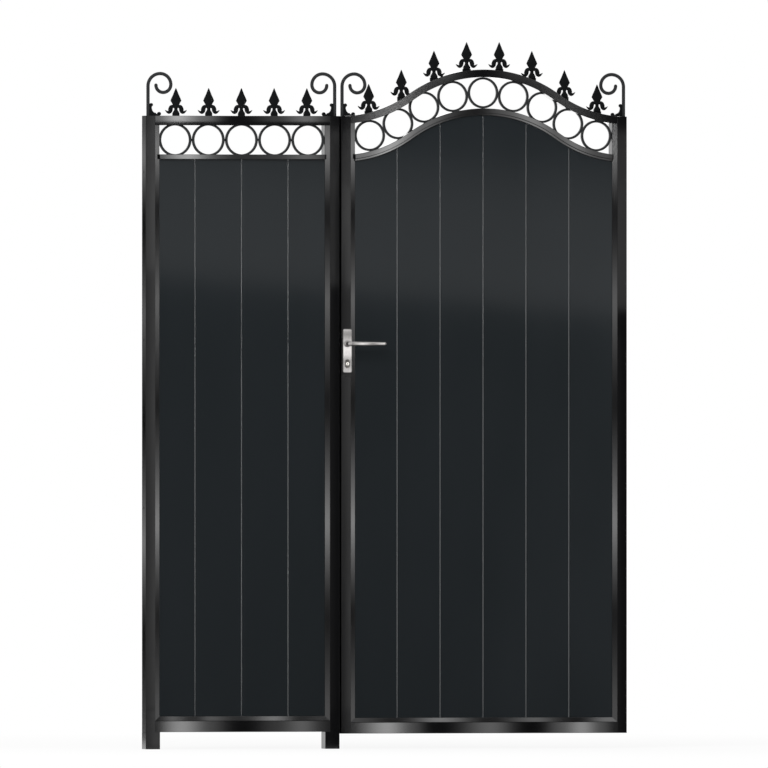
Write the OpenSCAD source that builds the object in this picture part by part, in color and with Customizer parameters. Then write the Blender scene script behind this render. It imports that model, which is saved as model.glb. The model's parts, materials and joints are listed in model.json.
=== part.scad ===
// Aluminium side gate: a fixed side panel on two legs, and a bell-arched leaf hung beside it.
// Millimetres. X runs to the right, Y to the rear, Z up. The ground is z = 0, and the origin lies
// under the middle of the whole width, halfway through the frame's depth.

/* [Panel and leaf] */
// Width of the fixed side panel, over its two posts
side_w = 625; // [560:1:700]
// Width of the gate leaf, over its two stiles
leaf_w = 924; // [860:1:1000]
// Running gap between the side panel and the leaf
lock_gap = 6; // [5:0.5:8]
// Gap between the leaf's hinge side and the wall
wall_gap = 8; // [8:0.5:12]
// Height of the panel's top rail and of the leaf's shoulders above the ground
shoulder_z = 2000; // [1850:10:2150]
// Height of the panel's bottom rail above the ground, which is the length of its legs
leg_h = 54; // [40:1:90]
// Height of the leaf's bottom rail above the ground
leaf_ground_gap = 48; // [30:1:80]
// Rise of the leaf's arch above its shoulders
arch_rise = 148; // [120:1:170]
// Radius of the arch's crown, along the top of the rail
crown_r = 420; // [400:5:440]

/* [Frame section] */
// Depth of every frame member, front to rear
frame_d = 60; // [54:1:66]
// Width of a post's or stile's flat front face
flat_w = 31; // [30:1:36]
// Width of the bevelled lip that holds the boards
lip_w = 15; // [12:1:16]
// How far the lip's bevel falls back from the front face
bevel_drop = 8; // [6:0.5:9]
// Wall of the box sections
wall = 3; // [2.5:0.1:3.5]
// Height of the flat front of a bottom rail
bottom_flat = 35; // [30:1:42]
// Height of the panel's top rail
side_top_h = 30; // [27:1:34]
// Height of the leaf's arched top rail
leaf_top_h = 24; // [23:1:28]
// Height of the box in the panel's ring rail
side_ring_box = 10; // [10:1:14]
// Height of the plain lip under the panel's ring rail
side_ring_lip = 5; // [4:1:8]
// Height of the box in the leaf's arched ring rail
leaf_ring_box = 15; // [15:1:18]
// Height of the plain lip under the leaf's arched ring rail
leaf_ring_lip = 7; // [5:1:9]
// How far that lip lies behind the front face
arch_lip_set = 4; // [2:0.5:7]
// Wall of the two ring rails
ring_rail_wall = 2; // [1.8:0.1:2.4]
// Thickness of the flat caps and end plugs
cap_t = 3; // [2:0.5:5]
// Side of the square bead that holds the boards from the rear
bead = 14; // [12:1:14]

/* [Boards] */
// Thickness of a board
board_t = 20; // [18:1:22]
// How far the boards' front face lies behind the frame's front face
board_inset = 10; // [10:0.5:12]
// Distance between board joints in the side panel
side_pitch = 150; // [130:1:170]
// Distance between board joints in the leaf
leaf_pitch = 139; // [125:1:150]
// Wall of a hollow board
board_wall = 1.8; // [1.6:0.1:2.2]
// Size of the small chamfer along each board's edges
board_chamfer = 3; // [2:0.5:3.5]
// How far a board's tongue reaches into the next board
tongue_l = 7; // [5:0.5:9]
// Thickness of the tongue
tongue_t = 6; // [5:0.5:7]
// Clearance round a board's edges and its tongue
board_fit = 0.3; // [0.2:0.05:0.5]

/* [Rings] */
// Outer diameter of the rings in the side panel
side_ring_d = 104.4; // [96:0.2:106]
// How far a ring is let into the panel's top rail and ring rail
side_ring_sink = 6.2; // [4:0.1:6.5]
// Outer diameter of the rings in the arch
leaf_ring_d = 98.4; // [90:0.2:100]
// Width of the bar that a ring is bent from
ring_bar = 7; // [5:0.2:8]
// Depth of a ring, front to rear
ring_depth = 12; // [8:1:16]
// Clearance between a ring and the rail that it stands against
ring_fit = 0.2; // [0.2:0.05:0.3]
// Clearance round a ring in the slot that it is let into
seat_fit = 0.15; // [0.1:0.01:0.15]
// Least distance between two rings
ring_space = 0.5; // [0.4:0.1:2]
// Diameter of the collars between the panel's rings
collar_d = 7; // [5:0.5:9]
// Clearance between a collar and the rings on either side of it
collar_fit = 0.06; // [0.04:0.01:0.1]

/* [Spear finials] */
// Height of a finial
finial_h = 88; // [80:1:94]
// Distance from the panel's outer edge to the middle of its last finial
side_finial_in = 101.3; // [100:0.1:108]
// Distance from the leaf's outer edge to the middle of its last finial
leaf_finial_in = 92.4; // [92:0.1:100]
// Thickness of a cast finial, crook foot or bracket
cast_t = 9; // [6:1:12]
// Height of the foot that raises a finial on the arched rail
foot_rise = 2.5; // [1:0.5:5]
// Width of that foot
foot_w = 26; // [22:1:30]
// Number of finials on the side panel
side_finial_n = 5; // [3:2:5]
// Number of finials on the leaf
leaf_finial_n = 8; // [4:2:8]

/* [Crooks] */
// Diameter of the crook's round bar
crook_bar = 10; // [8:0.5:12]
// Straight height of a crook's stem
crook_stem = 94; // [85:1:105]
// Radii of the crook's four quarter turns, along the middle of the bar
crook_r1 = 39.5; // [38:0.5:42]
// Second quarter turn
crook_r2 = 34.5; // [33:0.5:36]
// Third quarter turn
crook_r3 = 25; // [23:0.5:27]
// Last quarter turn
crook_r4 = 23; // [21:0.5:23]
// Height of the scrolled bracket beside a crook
bracket_h = 40; // [36:1:44]
// Distance from the panel's outer edge to the middle of its crook
side_crook_in = 11; // [8:0.5:16]
// Distance from the leaf's outer edge to the middle of its crook
leaf_crook_in = 6; // [6:0.5:12]
// Distance of the ornaments' middle plane behind the frame's front face
ornament_inset = 20; // [18:0.5:26]

/* [Handle and lock] */
// Distance from the leaf's lock edge to the lever's axis
backset = 18; // [17:0.5:18.5]
// Height of the lever's axis above the ground
lever_z = 1280; // [1000:5:1400]
// Distance from the lever's axis down to the cylinder's axis
lock_centres = 63; // [60:1:72]
// Width of a handle plate
plate_w = 30; // [28:0.5:31]
// Height of a handle plate
plate_h = 139; // [136:1:150]
// Thickness of a handle plate
plate_t = 8; // [6:0.5:10]
// Height of a handle plate above the lever's axis
plate_above = 47; // [40:0.5:47]
// Reach of a lever from its axis to its tip
lever_l = 119; // [100:1:130]
// Height of the lever's grip near its neck
grip_h1 = 14.5; // [12:0.5:16]
// Height of the lever's grip at its tip
grip_h2 = 11; // [9:0.5:12]
// Thickness of the lever's grip, front to rear
grip_t = 11; // [9:0.5:13]
// Clear finger space between the handle plate and the grip
finger_gap = 27; // [24:1:34]
// Diameter of the lever's neck collar
collar_neck_d = 21; // [18:0.5:22]
// Diameter of the lever's neck
neck_d = 15; // [13:0.5:16]
// Side of the square spindle
spindle_w = 8; // [7:0.5:9]
// Thickness of the lock case, front to rear
case_t = 15; // [14:0.5:18]
// Width of the lock case, behind its faceplate
case_w = 25.5; // [24:0.5:25.5]
// Width of the lock's faceplate
faceplate_w = 22; // [20:0.5:24]
// Thickness of the lock's faceplate
faceplate_t = 2; // [1.5:0.1:2.2]
// Thickness of the keep on the panel's post
keep_t = 1.5; // [1:0.1:2]
// Travel of the latch bolt
latch_travel = 11.5; // [9:0.5:12]
// Travel of the dead bolt
dead_travel = 14; // [10:0.5:14]
// Width of the oval cylinder
cyl_w = 14; // [13:0.5:15]
// Height of the oval cylinder
cyl_h = 27; // [25:0.5:28]
// Diameter of the cylinder's plug
plug_d = 10; // [9:0.5:10]
// Radial clearance of a turning fit
turn_fit = 0.05; // [0.03:0.01:0.08]
// Clearance of a sliding or loose fit
slide_fit = 0.3; // [0.2:0.05:0.5]

/* [Hinges and fixings] */
// Height of the lower hinge above the ground
hinge_low_z = 250; // [200:10:400]
// Distance of the upper hinge below the shoulders
hinge_top_drop = 250; // [200:10:400]
// Outer radius of a hinge knuckle
knuckle_r = 9; // [9:0.5:9.5]
// Radius of the hinge pin
pin_r = 5; // [4.5:0.1:5.5]
// Length of the leaf's middle knuckle
knuckle_l = 34; // [30:1:40]
// Length of each of the wall's knuckles
wall_knuckle_l = 28; // [24:1:32]
// Thickness of the nylon thrust washers
washer_t = 1; // [0.8:0.1:1.5]
// Thickness of the plate on the leaf
leaf_plate_t = 4; // [3:0.5:4]
// Thickness of the plate on the wall
wall_plate_t = 5; // [4:0.5:5]
// Radius of the wall bolts' holes
anchor_r = 4.25; // [3.5:0.25:5]
// Distance between the two wall bolts of a hinge
hinge_anchor_pitch = 70; // [60:1:80]
// Distance from a hinge knuckle to the wall bolts behind it
anchor_clear = 14; // [12:1:16]
// Half the height of the plate on the leaf
leaf_plate_half = 45; // [40:1:55]
// Distance between the outermost wall fixings of the left post
post_anchor_span = 1590; // [1400:30:1650]

/* [Hidden] */
$fn = 64;
over = 1;

// Places along the width
overall_w = side_w + lock_gap + leaf_w + wall_gap;
side_x0 = -overall_w / 2;
side_x1 = side_x0 + side_w;
leaf_x0 = side_x1 + lock_gap;
leaf_x1 = leaf_x0 + leaf_w;
wall_x = leaf_x1 + wall_gap;
leaf_cx = (leaf_x0 + leaf_x1) / 2;

// Places through the depth
front_y = -frame_d / 2;
rear_y = frame_d / 2;
board_y0 = front_y + board_inset;
board_y1 = board_y0 + board_t;
orn_y = front_y + ornament_inset;
frame_w = flat_w + lip_w;

// Places up the panel
side_flat_z = leg_h + bottom_flat;
side_under_z = shoulder_z - side_top_h;
side_ring_z = side_under_z - side_ring_d + 2 * side_ring_sink;
side_board_top = side_ring_z - side_ring_box - board_fit;

// Places up the leaf; the arch is a crown and two flanks that meet it without a kink
leaf_flat_z = leaf_ground_gap + bottom_flat;
leaf_half = leaf_w / 2;
arch_turn = 2 * atan(arch_rise / leaf_half);
flank_r = leaf_half / sin(arch_turn) - crown_r;
crown_z = shoulder_z + arch_rise - crown_r;
flank_z = shoulder_z + flank_r;
ring_drop = leaf_top_h + leaf_ring_d + 2 * ring_fit;

// Height of the arch's top edge at a distance from the leaf's middle
function arch_z(x) =
  abs(x) < crown_r * sin(arch_turn)
    ? crown_z + sqrt(crown_r * crown_r - x * x)
    : flank_z - sqrt(flank_r * flank_r - pow(leaf_half - abs(x), 2));

// Length along the arch from its middle, and its inverse
crown_half_arc = crown_r * arch_turn * PI / 180;
function arc_to(x) =
  x < crown_r * sin(arch_turn)
    ? crown_r * asin(x / crown_r) * PI / 180
    : crown_half_arc + flank_r * (arch_turn - asin((leaf_half - x) / flank_r)) * PI / 180;
function x_at_arc(s) =
  s < crown_half_arc
    ? crown_r * sin(s / crown_r * 180 / PI)
    : leaf_half - flank_r * sin(arch_turn - (s - crown_half_arc) / flank_r * 180 / PI);

// Rings in the panel: as many as fit, spread from post to post
side_inner = side_w - 2 * frame_w;
side_ring_n = floor((side_inner + ring_space) / (side_ring_d + ring_space));
side_ring_step = (side_inner - 2 * ring_fit - side_ring_d) / (side_ring_n - 1);
function side_ring_x(i) = side_x0 + frame_w + ring_fit + side_ring_d / 2 + i * side_ring_step;
side_ring_cz = side_ring_z - side_ring_sink + side_ring_d / 2;

// Rings in the arch: evenly along the curve, the outermost against the stiles
last_ring_x = leaf_half - frame_w - ring_fit - leaf_ring_d / 2;
leaf_ring_half_n = floor(arc_to(last_ring_x) / (leaf_ring_d + ring_space));
leaf_ring_step = arc_to(last_ring_x) / leaf_ring_half_n;
function leaf_ring_x(i) = sign(i) * x_at_arc(abs(i) * leaf_ring_step);
function leaf_ring_cz(i) = arch_z(leaf_ring_x(i)) - leaf_top_h - ring_fit - leaf_ring_d / 2;

// Finials, evenly between the two outermost ones
side_finial_step = (side_w - 2 * side_finial_in) / (side_finial_n - 1);
leaf_finial_step = (leaf_w - 2 * leaf_finial_in) / (leaf_finial_n - 1);

// Handle and lock
lever_x = leaf_x0 + backset;
cyl_z = lever_z - lock_centres;
plate_z1 = lever_z + plate_above;
plate_z0 = plate_z1 - plate_h;
plate_corner = 6;
bolt_r = 2.5;
bolt_head_r = 3.5;
bolt_head_t = 3;
bolt_space = 1.5;
bolt_zs = [plate_z0 + plate_corner, plate_z1 - plate_corner];
case_wall = 1.5;
case_x0 = leaf_x0 + faceplate_t;
case_z0 = bolt_zs[0] + bolt_r + bolt_space;
case_z1 = bolt_zs[1] - bolt_r - bolt_space;
faceplate_over = 13;
faceplate_z0 = case_z0 - faceplate_over;
faceplate_z1 = case_z1 + faceplate_over;
lock_screw_in = 6;
lock_screw_zs = [faceplate_z0 + lock_screw_in, faceplate_z1 - lock_screw_in];
lock_screw_l = 14;
screw_r = 2;
screw_head_r = 3.8;
latch_z = lever_z + 25;
latch_h = 16;
latch_t = 11;
latch_face = 2;
latch_out = latch_travel - 1;
latch_tail = case_w + faceplate_t - case_wall - latch_travel - slide_fit;
dead_h = 20;
dead_t = 10;
dead_z = cyl_z + cyl_h / 2 + bolt_space + dead_h / 2;
dead_hold = 10;
dead_l = dead_travel + dead_hold;
follower_r = 8;
follower_t = 9;
collar_proud = 3;
cam_r = case_x0 + case_w - case_wall - lever_x - 2 * slide_fit;
cam_w = 6;
cam_t = 6;
cyl_proud = 2;
cyl_len = frame_d + 2 * (plate_t + cyl_proud);
keyway_w = 2.2;
keyway_h = 7;
keyway_l = 10;
keep_w = 24;
keep_slack = 1;
keep_screw_l = 10;
keep_head_r = 3;
keep_head_t = 0.6;

// Hinges
hinge_space = 1;
hinge_x = wall_x - knuckle_r;
hinge_y = rear_y + hinge_space + knuckle_r;
hinge_zs = [hinge_low_z, shoulder_z - hinge_top_drop];
wall_plate_half = knuckle_l / 2 + washer_t + wall_knuckle_l;
hinge_anchor_y = hinge_y + knuckle_r + anchor_clear;
hinge_anchor_edge = 12;
pin_head_r = 7;
pin_head_t = 3;
hinge_screw_x = leaf_x1 - flat_w / 2 - 6;
hinge_screw_edge = 13;
hinge_screw_zs = [hinge_screw_edge - leaf_plate_half, leaf_plate_half - hinge_screw_edge];
hinge_screw_l = 16;
hinge_screw_head_t = 1.6;
post_anchor_inner = post_anchor_span / 3;
post_anchor_cz = leg_h + (shoulder_z - leg_h) / 2;
post_anchor_zs = [for (s = [-0.5, 0.5], d = [post_anchor_span, post_anchor_inner]) post_anchor_cz + s * d];

FRAME_BLACK = [0.07, 0.07, 0.075];
BOARD_GREY = [0.13, 0.14, 0.15];
CAST_BLACK = [0.1, 0.1, 0.11];
STEEL = [0.72, 0.72, 0.73];
DULL_STEEL = [0.55, 0.56, 0.58];
NICKEL = [0.66, 0.65, 0.63];
PLASTIC = [0.05, 0.05, 0.05];

// A plain block between two corners
module block(low, high) {
  translate(low) cube(high - low);
}

// Extrudes an outline drawn in X and Z through the depth, from y0 to y1
module through(y0, y1) {
  translate([0, y1, 0]) rotate([90, 0, 0]) linear_extrude(y1 - y0) children();
}

// Runs an outline drawn in Y and Z along the width, from x0 to x1
module along(x0, x1) {
  translate([x0, 0, 0]) rotate([90, 0, 90]) linear_extrude(x1 - x0) children();
}

// A cylinder through the depth
module rod_y(x, z, r, y0, y1) {
  translate([x, y1, z]) rotate([90, 0, 0]) cylinder(r = r, h = y1 - y0);
}

// A cylinder along the width
module rod_x(x0, x1, y, z, r) {
  translate([x0, y, z]) rotate([0, 90, 0]) cylinder(r = r, h = x1 - x0);
}

// The frame's section: a hollow box and a bevelled lip, in height from the edge and depth
module section(box_w, lip, drop, t) {
  difference() {
    translate([0, front_y]) square([box_w, frame_d]);
    translate([t, front_y + t]) square([box_w - 2 * t, frame_d - 2 * t]);
  }
  if (lip > 0)
    polygon([[box_w, front_y], [box_w + lip, front_y + drop], [box_w + lip, board_y0], [box_w, board_y0]]);
}

// The hollow block that fills the rebate beside a row of rings
module jamb_plan() {
  difference() {
    translate([flat_w, board_y0]) square([lip_w, rear_y - board_y0]);
    translate([flat_w, board_y0 + wall]) square([lip_w - wall, rear_y - board_y0 - 2 * wall]);
  }
}

// Everything under the arch's top edge, brought in by an offset and lowered by a drop, about x = 0
module under_arch(inset, drop, low) {
  edge_x = (crown_r - inset) * sin(arch_turn);
  edge_z = crown_z - drop + (crown_r - inset) * cos(arch_turn);
  intersection() {
    translate([0, crown_z - drop]) circle(r = crown_r - inset, $fn = 180);
    translate([-edge_x, edge_z]) square([2 * edge_x, arch_rise]);
  }
  translate([-edge_x, low]) square([2 * edge_x, edge_z - low]);
  for (s = [0, 1]) mirror([s, 0]) difference() {
    translate([edge_x, low]) square([leaf_half + over - edge_x, edge_z - low]);
    translate([leaf_half, flank_z - drop]) circle(r = flank_r + inset, $fn = 180);
  }
}

// A band of the arch between two insets from its top edge, lowered by a drop, from depth y0 to y1
module arch_band(inset0, inset1, drop, y0, y1) {
  low = shoulder_z - 2 * arch_rise;
  intersection() {
    through(y0, y1) translate([leaf_cx, 0]) difference() {
      under_arch(inset0, drop, low);
      under_arch(inset1, drop, low - over);
    }
    block([leaf_x0 + flat_w, y0 - over, shoulder_z - arch_rise],
      [leaf_x1 - flat_w, y1 + over, shoulder_z + 2 * arch_rise]);
  }
}

// A hollow box rail bent along the arch
module arch_box(h, drop, t) {
  difference() {
    arch_band(0, h, drop, front_y, rear_y);
    arch_band(t, h - t, drop, front_y + t, rear_y - t);
  }
}

// One ring, its axis through the depth
module ring(x, z, d) {
  difference() {
    rod_y(x, z, d / 2, orn_y - ring_depth / 2, orn_y + ring_depth / 2);
    rod_y(x, z, d / 2 - ring_bar, orn_y - ring_depth, orn_y + ring_depth);
  }
}

// The slot in a rail that a ring is let into
module ring_slot(x, z, d) {
  half = ring_depth / 2 + seat_fit;
  rod_y(x, z, d / 2 + seat_fit, orn_y - half, orn_y + half);
}

module side_ring_slots() {
  for (i = [0:side_ring_n - 1]) ring_slot(side_ring_x(i), side_ring_cz, side_ring_d);
}

module leaf_ring_slots() {
  for (i = [-leaf_ring_half_n:leaf_ring_half_n])
    ring_slot(leaf_cx + leaf_ring_x(i), leaf_ring_cz(i), leaf_ring_d);
}

// A post or stile with its outer edge on x = 0; its lip is mitred against the bottom rail's lip
module upright(z0, z1, lip_z0) {
  difference() {
    translate([0, 0, z0]) linear_extrude(z1 - z0) section(flat_w, lip_w, bevel_drop, wall);
    through(front_y - over, rear_y + over)
      polygon([[flat_w, z0 - over], [frame_w + over, z0 - over], [frame_w + over, lip_z0 + lip_w + over],
        [flat_w, lip_z0]]);
  }
}

// One of the panel's posts: no lip beside the rings, where a hollow block fills the rebate
module side_upright() {
  difference() {
    upright(leg_h, shoulder_z, side_flat_z);
    block([flat_w, front_y - over, side_under_z], [frame_w + over, rear_y + over, shoulder_z + over]);
  }
  translate([0, 0, side_ring_z]) linear_extrude(side_under_z - side_ring_z) jamb_plan();
}

module left_post() {
  color(FRAME_BLACK) difference() {
    translate([side_x0, 0, 0]) side_upright();
    for (z = post_anchor_zs) rod_x(side_x0 - over, side_x0 + flat_w + over, 0, z, anchor_r);
  }
}

module right_post() {
  color(FRAME_BLACK) difference() {
    translate([side_x1, 0, 0]) mirror([1, 0, 0]) side_upright();
    bolt_slots(side_x1 - wall - over, side_x1 + over, keep_slack);
    for (z = bolt_zs) rod_x(side_x1 - wall - over, side_x1 + over, 0, z, screw_r);
  }
}

module side_top_rail() {
  color(FRAME_BLACK) difference() {
    along(side_x0 + flat_w, side_x1 - flat_w)
      translate([0, shoulder_z]) rotate(-90) section(side_top_h, 0, 0, wall);
    side_ring_slots();
  }
}

// Takes a rail's front off where it would meet the lips of the two uprights
module lip_notches(x0, x1, z0, z1) {
  for (x = [x0 + flat_w - over, x1 - frame_w])
    block([x, front_y - over, z0], [x + lip_w + over, board_y0, z1]);
}

module side_ring_rail() {
  color(FRAME_BLACK) difference() {
    along(side_x0 + flat_w, side_x1 - flat_w)
      translate([0, side_ring_z]) rotate(-90) section(side_ring_box, side_ring_lip, 0, ring_rail_wall);
    lip_notches(side_x0, side_x1, side_ring_z - 2 * (side_ring_box + side_ring_lip), side_ring_z + over);
    side_ring_slots();
  }
}

// A bottom rail between two uprights, its lip mitred at both ends
module bottom_rail(x0, x1, z0) {
  flat_z = z0 + bottom_flat;
  color(FRAME_BLACK) difference() {
    along(x0 + flat_w, x1 - flat_w)
      mirror([0, 1]) translate([0, -z0]) rotate(-90) section(bottom_flat, lip_w, bevel_drop, wall);
    through(front_y - over, board_y0 + over)
      for (side = [0, 1]) translate([side ? x1 : x0, flat_z]) mirror([side, 0])
        polygon([[flat_w, 0], [frame_w + over, lip_w + over], [flat_w - over, lip_w + over],
          [flat_w - over, 0]]);
  }
}

module side_bottom_rail() {
  bottom_rail(side_x0, side_x1, leg_h);
}

// A leg: plain box section as wide as the whole post
module leg(x0) {
  color(FRAME_BLACK) translate([x0, front_y, 0]) linear_extrude(leg_h) difference() {
    square([frame_w, frame_d]);
    translate([wall, wall]) square([frame_w - 2 * wall, frame_d - 2 * wall]);
  }
}

module left_leg() {
  leg(side_x0);
}

module right_leg() {
  leg(side_x1 - frame_w);
}

// Flat plugs pushed into the legs' open ends, flush with the ground
module leg_plugs() {
  color(PLASTIC) for (x = [side_x0, side_x1 - frame_w])
    block([x + wall, front_y + wall, 0], [x + frame_w - wall, rear_y - wall, cap_t]);
}

// A cap let into the open end of an upright's box
module box_cap(x0, z0) {
  block([x0 + wall, front_y + wall, z0], [x0 + flat_w - wall, rear_y - wall, z0 + cap_t]);
}

module post_caps() {
  color(FRAME_BLACK) for (x = [side_x0, side_x1 - flat_w]) box_cap(x, shoulder_z - cap_t);
}

module stile_caps() {
  color(FRAME_BLACK) for (x = [leaf_x0, leaf_x1 - flat_w], z = [leaf_ground_gap, shoulder_z - cap_t])
    box_cap(x, z);
}

// A board in plan between two joints: chamfered edges, two hollows, a tongue and a groove
module board_plan(x0, x1, tongue, groove) {
  c = board_chamfer;
  mid_y = (board_y0 + board_y1) / 2;
  tongue_half = tongue_t / 2;
  groove_l = tongue_l + 2 * board_fit;
  hollow_x0 = x0 + board_wall + (groove ? groove_l : 0);
  hollow_x1 = x1 - board_wall;
  web = board_wall;
  chamber = (hollow_x1 - hollow_x0 - web) / 2;
  difference() {
    union() {
      polygon([[x0, board_y0 + c], [x0 + c, board_y0], [x1 - c, board_y0], [x1, board_y0 + c],
        [x1, board_y1 - c], [x1 - c, board_y1], [x0 + c, board_y1], [x0, board_y1 - c]]);
      if (tongue) translate([x1 - c, mid_y - tongue_half]) square([tongue_l + c, tongue_t]);
    }
    if (groove) translate([x0 - over, mid_y - tongue_half - board_fit])
      square([groove_l + over, tongue_t + 2 * board_fit]);
    for (x = [hollow_x0, hollow_x0 + chamber + web])
      translate([x, board_y0 + c + board_wall / 2]) square([chamber, board_t - 2 * c - board_wall]);
  }
}

// Board number i of n, between the uprights of a frame from x0 to x1
module board_outline(i, n, x0, x1, pitch) {
  middle = (x0 + x1) / 2;
  left = i == 1 ? x0 + flat_w + board_fit : middle + (i - 1 - n / 2) * pitch + board_fit / 2;
  right = i == n ? x1 - flat_w - board_fit : middle + (i - n / 2) * pitch - board_fit / 2;
  board_plan(left, right, i < n, i > 1);
}

module side_board(i) {
  color(BOARD_GREY) translate([0, 0, side_flat_z + board_fit])
    linear_extrude(side_board_top - side_flat_z - board_fit)
      board_outline(i, 4, side_x0, side_x1, side_pitch);
}

module leaf_board(i) {
  color(BOARD_GREY) intersection() {
    translate([0, 0, leaf_flat_z + board_fit]) linear_extrude(shoulder_z + arch_rise - leaf_flat_z)
      board_outline(i, 6, leaf_x0, leaf_x1, leaf_pitch);
    through(board_y0 - over, board_y1 + over) translate([leaf_cx, 0])
      under_arch(leaf_ring_box + board_fit, ring_drop, leaf_ground_gap);
  }
}

// A strip of bead behind the boards, between four corners in X and Z
module bead_strip(a, b, c, d) {
  through(board_y1, board_y1 + bead) polygon([a, b, c, d]);
}

module side_rear_beads() {
  x0 = side_x0 + flat_w;
  x1 = side_x1 - flat_w;
  z0 = side_flat_z;
  z1 = side_ring_z - side_ring_box;
  color(FRAME_BLACK) {
    bead_strip([x0, z0], [x0 + bead, z0 + bead], [x0 + bead, z1 - bead], [x0, z1]);
    bead_strip([x1, z0], [x1, z1], [x1 - bead, z1 - bead], [x1 - bead, z0 + bead]);
    bead_strip([x0, z0], [x1, z0], [x1 - bead, z0 + bead], [x0 + bead, z0 + bead]);
    bead_strip([x0, z1], [x0 + bead, z1 - bead], [x1 - bead, z1 - bead], [x1, z1]);
  }
}

module leaf_rear_beads() {
  x0 = leaf_x0 + flat_w;
  x1 = leaf_x1 - flat_w;
  z0 = leaf_flat_z;
  z1 = shoulder_z;
  color(FRAME_BLACK) {
    intersection() {
      union() {
        bead_strip([x0, z0], [x0 + bead, z0 + bead], [x0 + bead, z1], [x0, z1]);
        bead_strip([x1, z0], [x1, z1], [x1 - bead, z1], [x1 - bead, z0 + bead]);
      }
      through(board_y1 - over, board_y1 + bead + over) translate([leaf_cx, 0])
        under_arch(leaf_ring_box + bead, ring_drop, leaf_ground_gap);
    }
    bead_strip([x0, z0], [x1, z0], [x1 - bead, z0 + bead], [x0 + bead, z0 + bead]);
    intersection() {
      through(board_y1, board_y1 + bead) translate([leaf_cx, 0]) difference() {
        under_arch(leaf_ring_box, ring_drop, leaf_ground_gap);
        under_arch(leaf_ring_box + bead, ring_drop, leaf_ground_gap - over);
      }
      block([x0, board_y1, z0], [x1, board_y1 + bead, z1 + arch_rise]);
    }
  }
}

module side_rings() {
  color(CAST_BLACK) for (i = [0:side_ring_n - 1]) ring(side_ring_x(i), side_ring_cz, side_ring_d);
}

// Short round collars that fill the gaps between neighbouring rings of the panel
module side_ring_collars() {
  r = side_ring_d / 2;
  reach = r - ring_bar / 2;
  color(CAST_BLACK) for (i = [0:side_ring_n - 2]) difference() {
    rod_x(side_ring_x(i) + reach, side_ring_x(i + 1) - reach, orn_y, side_ring_cz, collar_d / 2);
    for (x = [side_ring_x(i), side_ring_x(i + 1)])
      rod_y(x, side_ring_cz, r + collar_fit, orn_y - ring_depth, orn_y + ring_depth);
  }
}

module leaf_rings() {
  color(CAST_BLACK) for (i = [-leaf_ring_half_n:leaf_ring_half_n])
    ring(leaf_cx + leaf_ring_x(i), leaf_ring_cz(i), leaf_ring_d);
}

// The drooping leaf on the right of a finial whose height is 88 units
module volute_outline() {
  difference() {
    translate([10, 21.5]) circle(r = 13.5);
    translate([5, 13]) circle(r = 7.5);
    translate([-20, -6]) square([50, 20]);
  }
  translate([18.6, 15.5]) circle(r = 7);
  polygon([[19, 8.5], [28.5, 10], [35, 18.2], [27.5, 15.4], [24, 19.5]]);
}

// A spear finial's outline, its foot on z = 0: drawn 88 units high and brought to its real height
module finial_outline() {
  right = [[10.8, 0], [10.8, 8], [9.2, 12], [6.8, 15.5], [5.2, 19.5], [5.6, 24], [7, 27], [10.2, 35],
    [13.5, 41], [17.5, 47.5], [14.2, 56], [9.6, 65.5], [5, 77], [2.2, 84]];
  left = [for (i = [len(right) - 1:-1:0]) [-right[i][0], right[i][1]]];
  scale(finial_h / 88) {
    polygon(concat(right, [[0, 88]], left));
    for (s = [0, 1]) mirror([s, 0]) volute_outline();
  }
}

module side_finials() {
  color(CAST_BLACK) through(orn_y - cast_t / 2, orn_y + cast_t / 2)
    for (i = [0:side_finial_n - 1])
      translate([side_x0 + side_finial_in + i * side_finial_step, shoulder_z]) finial_outline();
}

module leaf_finials() {
  color(CAST_BLACK) through(orn_y - cast_t / 2, orn_y + cast_t / 2) difference() {
    for (i = [0:leaf_finial_n - 1]) {
      x = leaf_finial_in + i * leaf_finial_step - leaf_half;
      translate([leaf_cx + x, arch_z(x) + foot_rise]) {
        finial_outline();
        translate([-foot_w / 2, -foot_w / 2 - foot_rise]) square([foot_w, foot_w / 2 + 2 * foot_rise]);
      }
    }
    translate([leaf_cx, 0]) under_arch(0, 0, shoulder_z - foot_w);
  }
}

// One quarter turn of round bar about a centre, in X and Z
module quarter(x, z, r, from) {
  translate([x, orn_y, z]) rotate([90, 0, 0]) rotate([0, 0, from])
    rotate_extrude(angle = 90) translate([r, 0]) circle(d = crook_bar, $fn = 32);
}

// A crook whose stem stands on x = 0 and whose scroll curls towards +X
module crook() {
  z1 = crook_stem;
  z2 = z1 + crook_r1 - crook_r2;
  x3 = crook_r1 + crook_r2 - crook_r3;
  z4 = z2 - crook_r3 + crook_r4;
  translate([0, orn_y, 0]) cylinder(d = crook_bar, h = z1);
  quarter(crook_r1, z1, crook_r1, 90);
  quarter(crook_r1, z2, crook_r2, 0);
  quarter(x3, z2, crook_r3, 270);
  quarter(x3, z4, crook_r4, 180);
  translate([x3 - crook_r4, orn_y, z4]) sphere(d = crook_bar);
}

module side_crooks() {
  color(CAST_BLACK) {
    translate([side_x0 + side_crook_in, 0, shoulder_z]) crook();
    translate([side_x1 - side_crook_in, 0, shoulder_z]) mirror([1, 0, 0]) crook();
  }
}

module leaf_crooks() {
  color(CAST_BLACK) {
    translate([leaf_x0 + leaf_crook_in, 0, shoulder_z]) crook();
    translate([leaf_x1 - leaf_crook_in, 0, shoulder_z]) mirror([1, 0, 0]) crook();
  }
}

// The small scrolled bracket in the corner between a crook and the rail: drawn 40 units high
module bracket_outline() {
  scale(bracket_h / 40) {
    square([7, 33]);
    square([31, 6]);
    difference() {
      square([21, 22]);
      translate([21, 22]) circle(r = 13);
    }
    translate([5.6, 34.5]) circle(r = 5.5);
    translate([31, 6]) circle(r = 6);
  }
}

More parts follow.
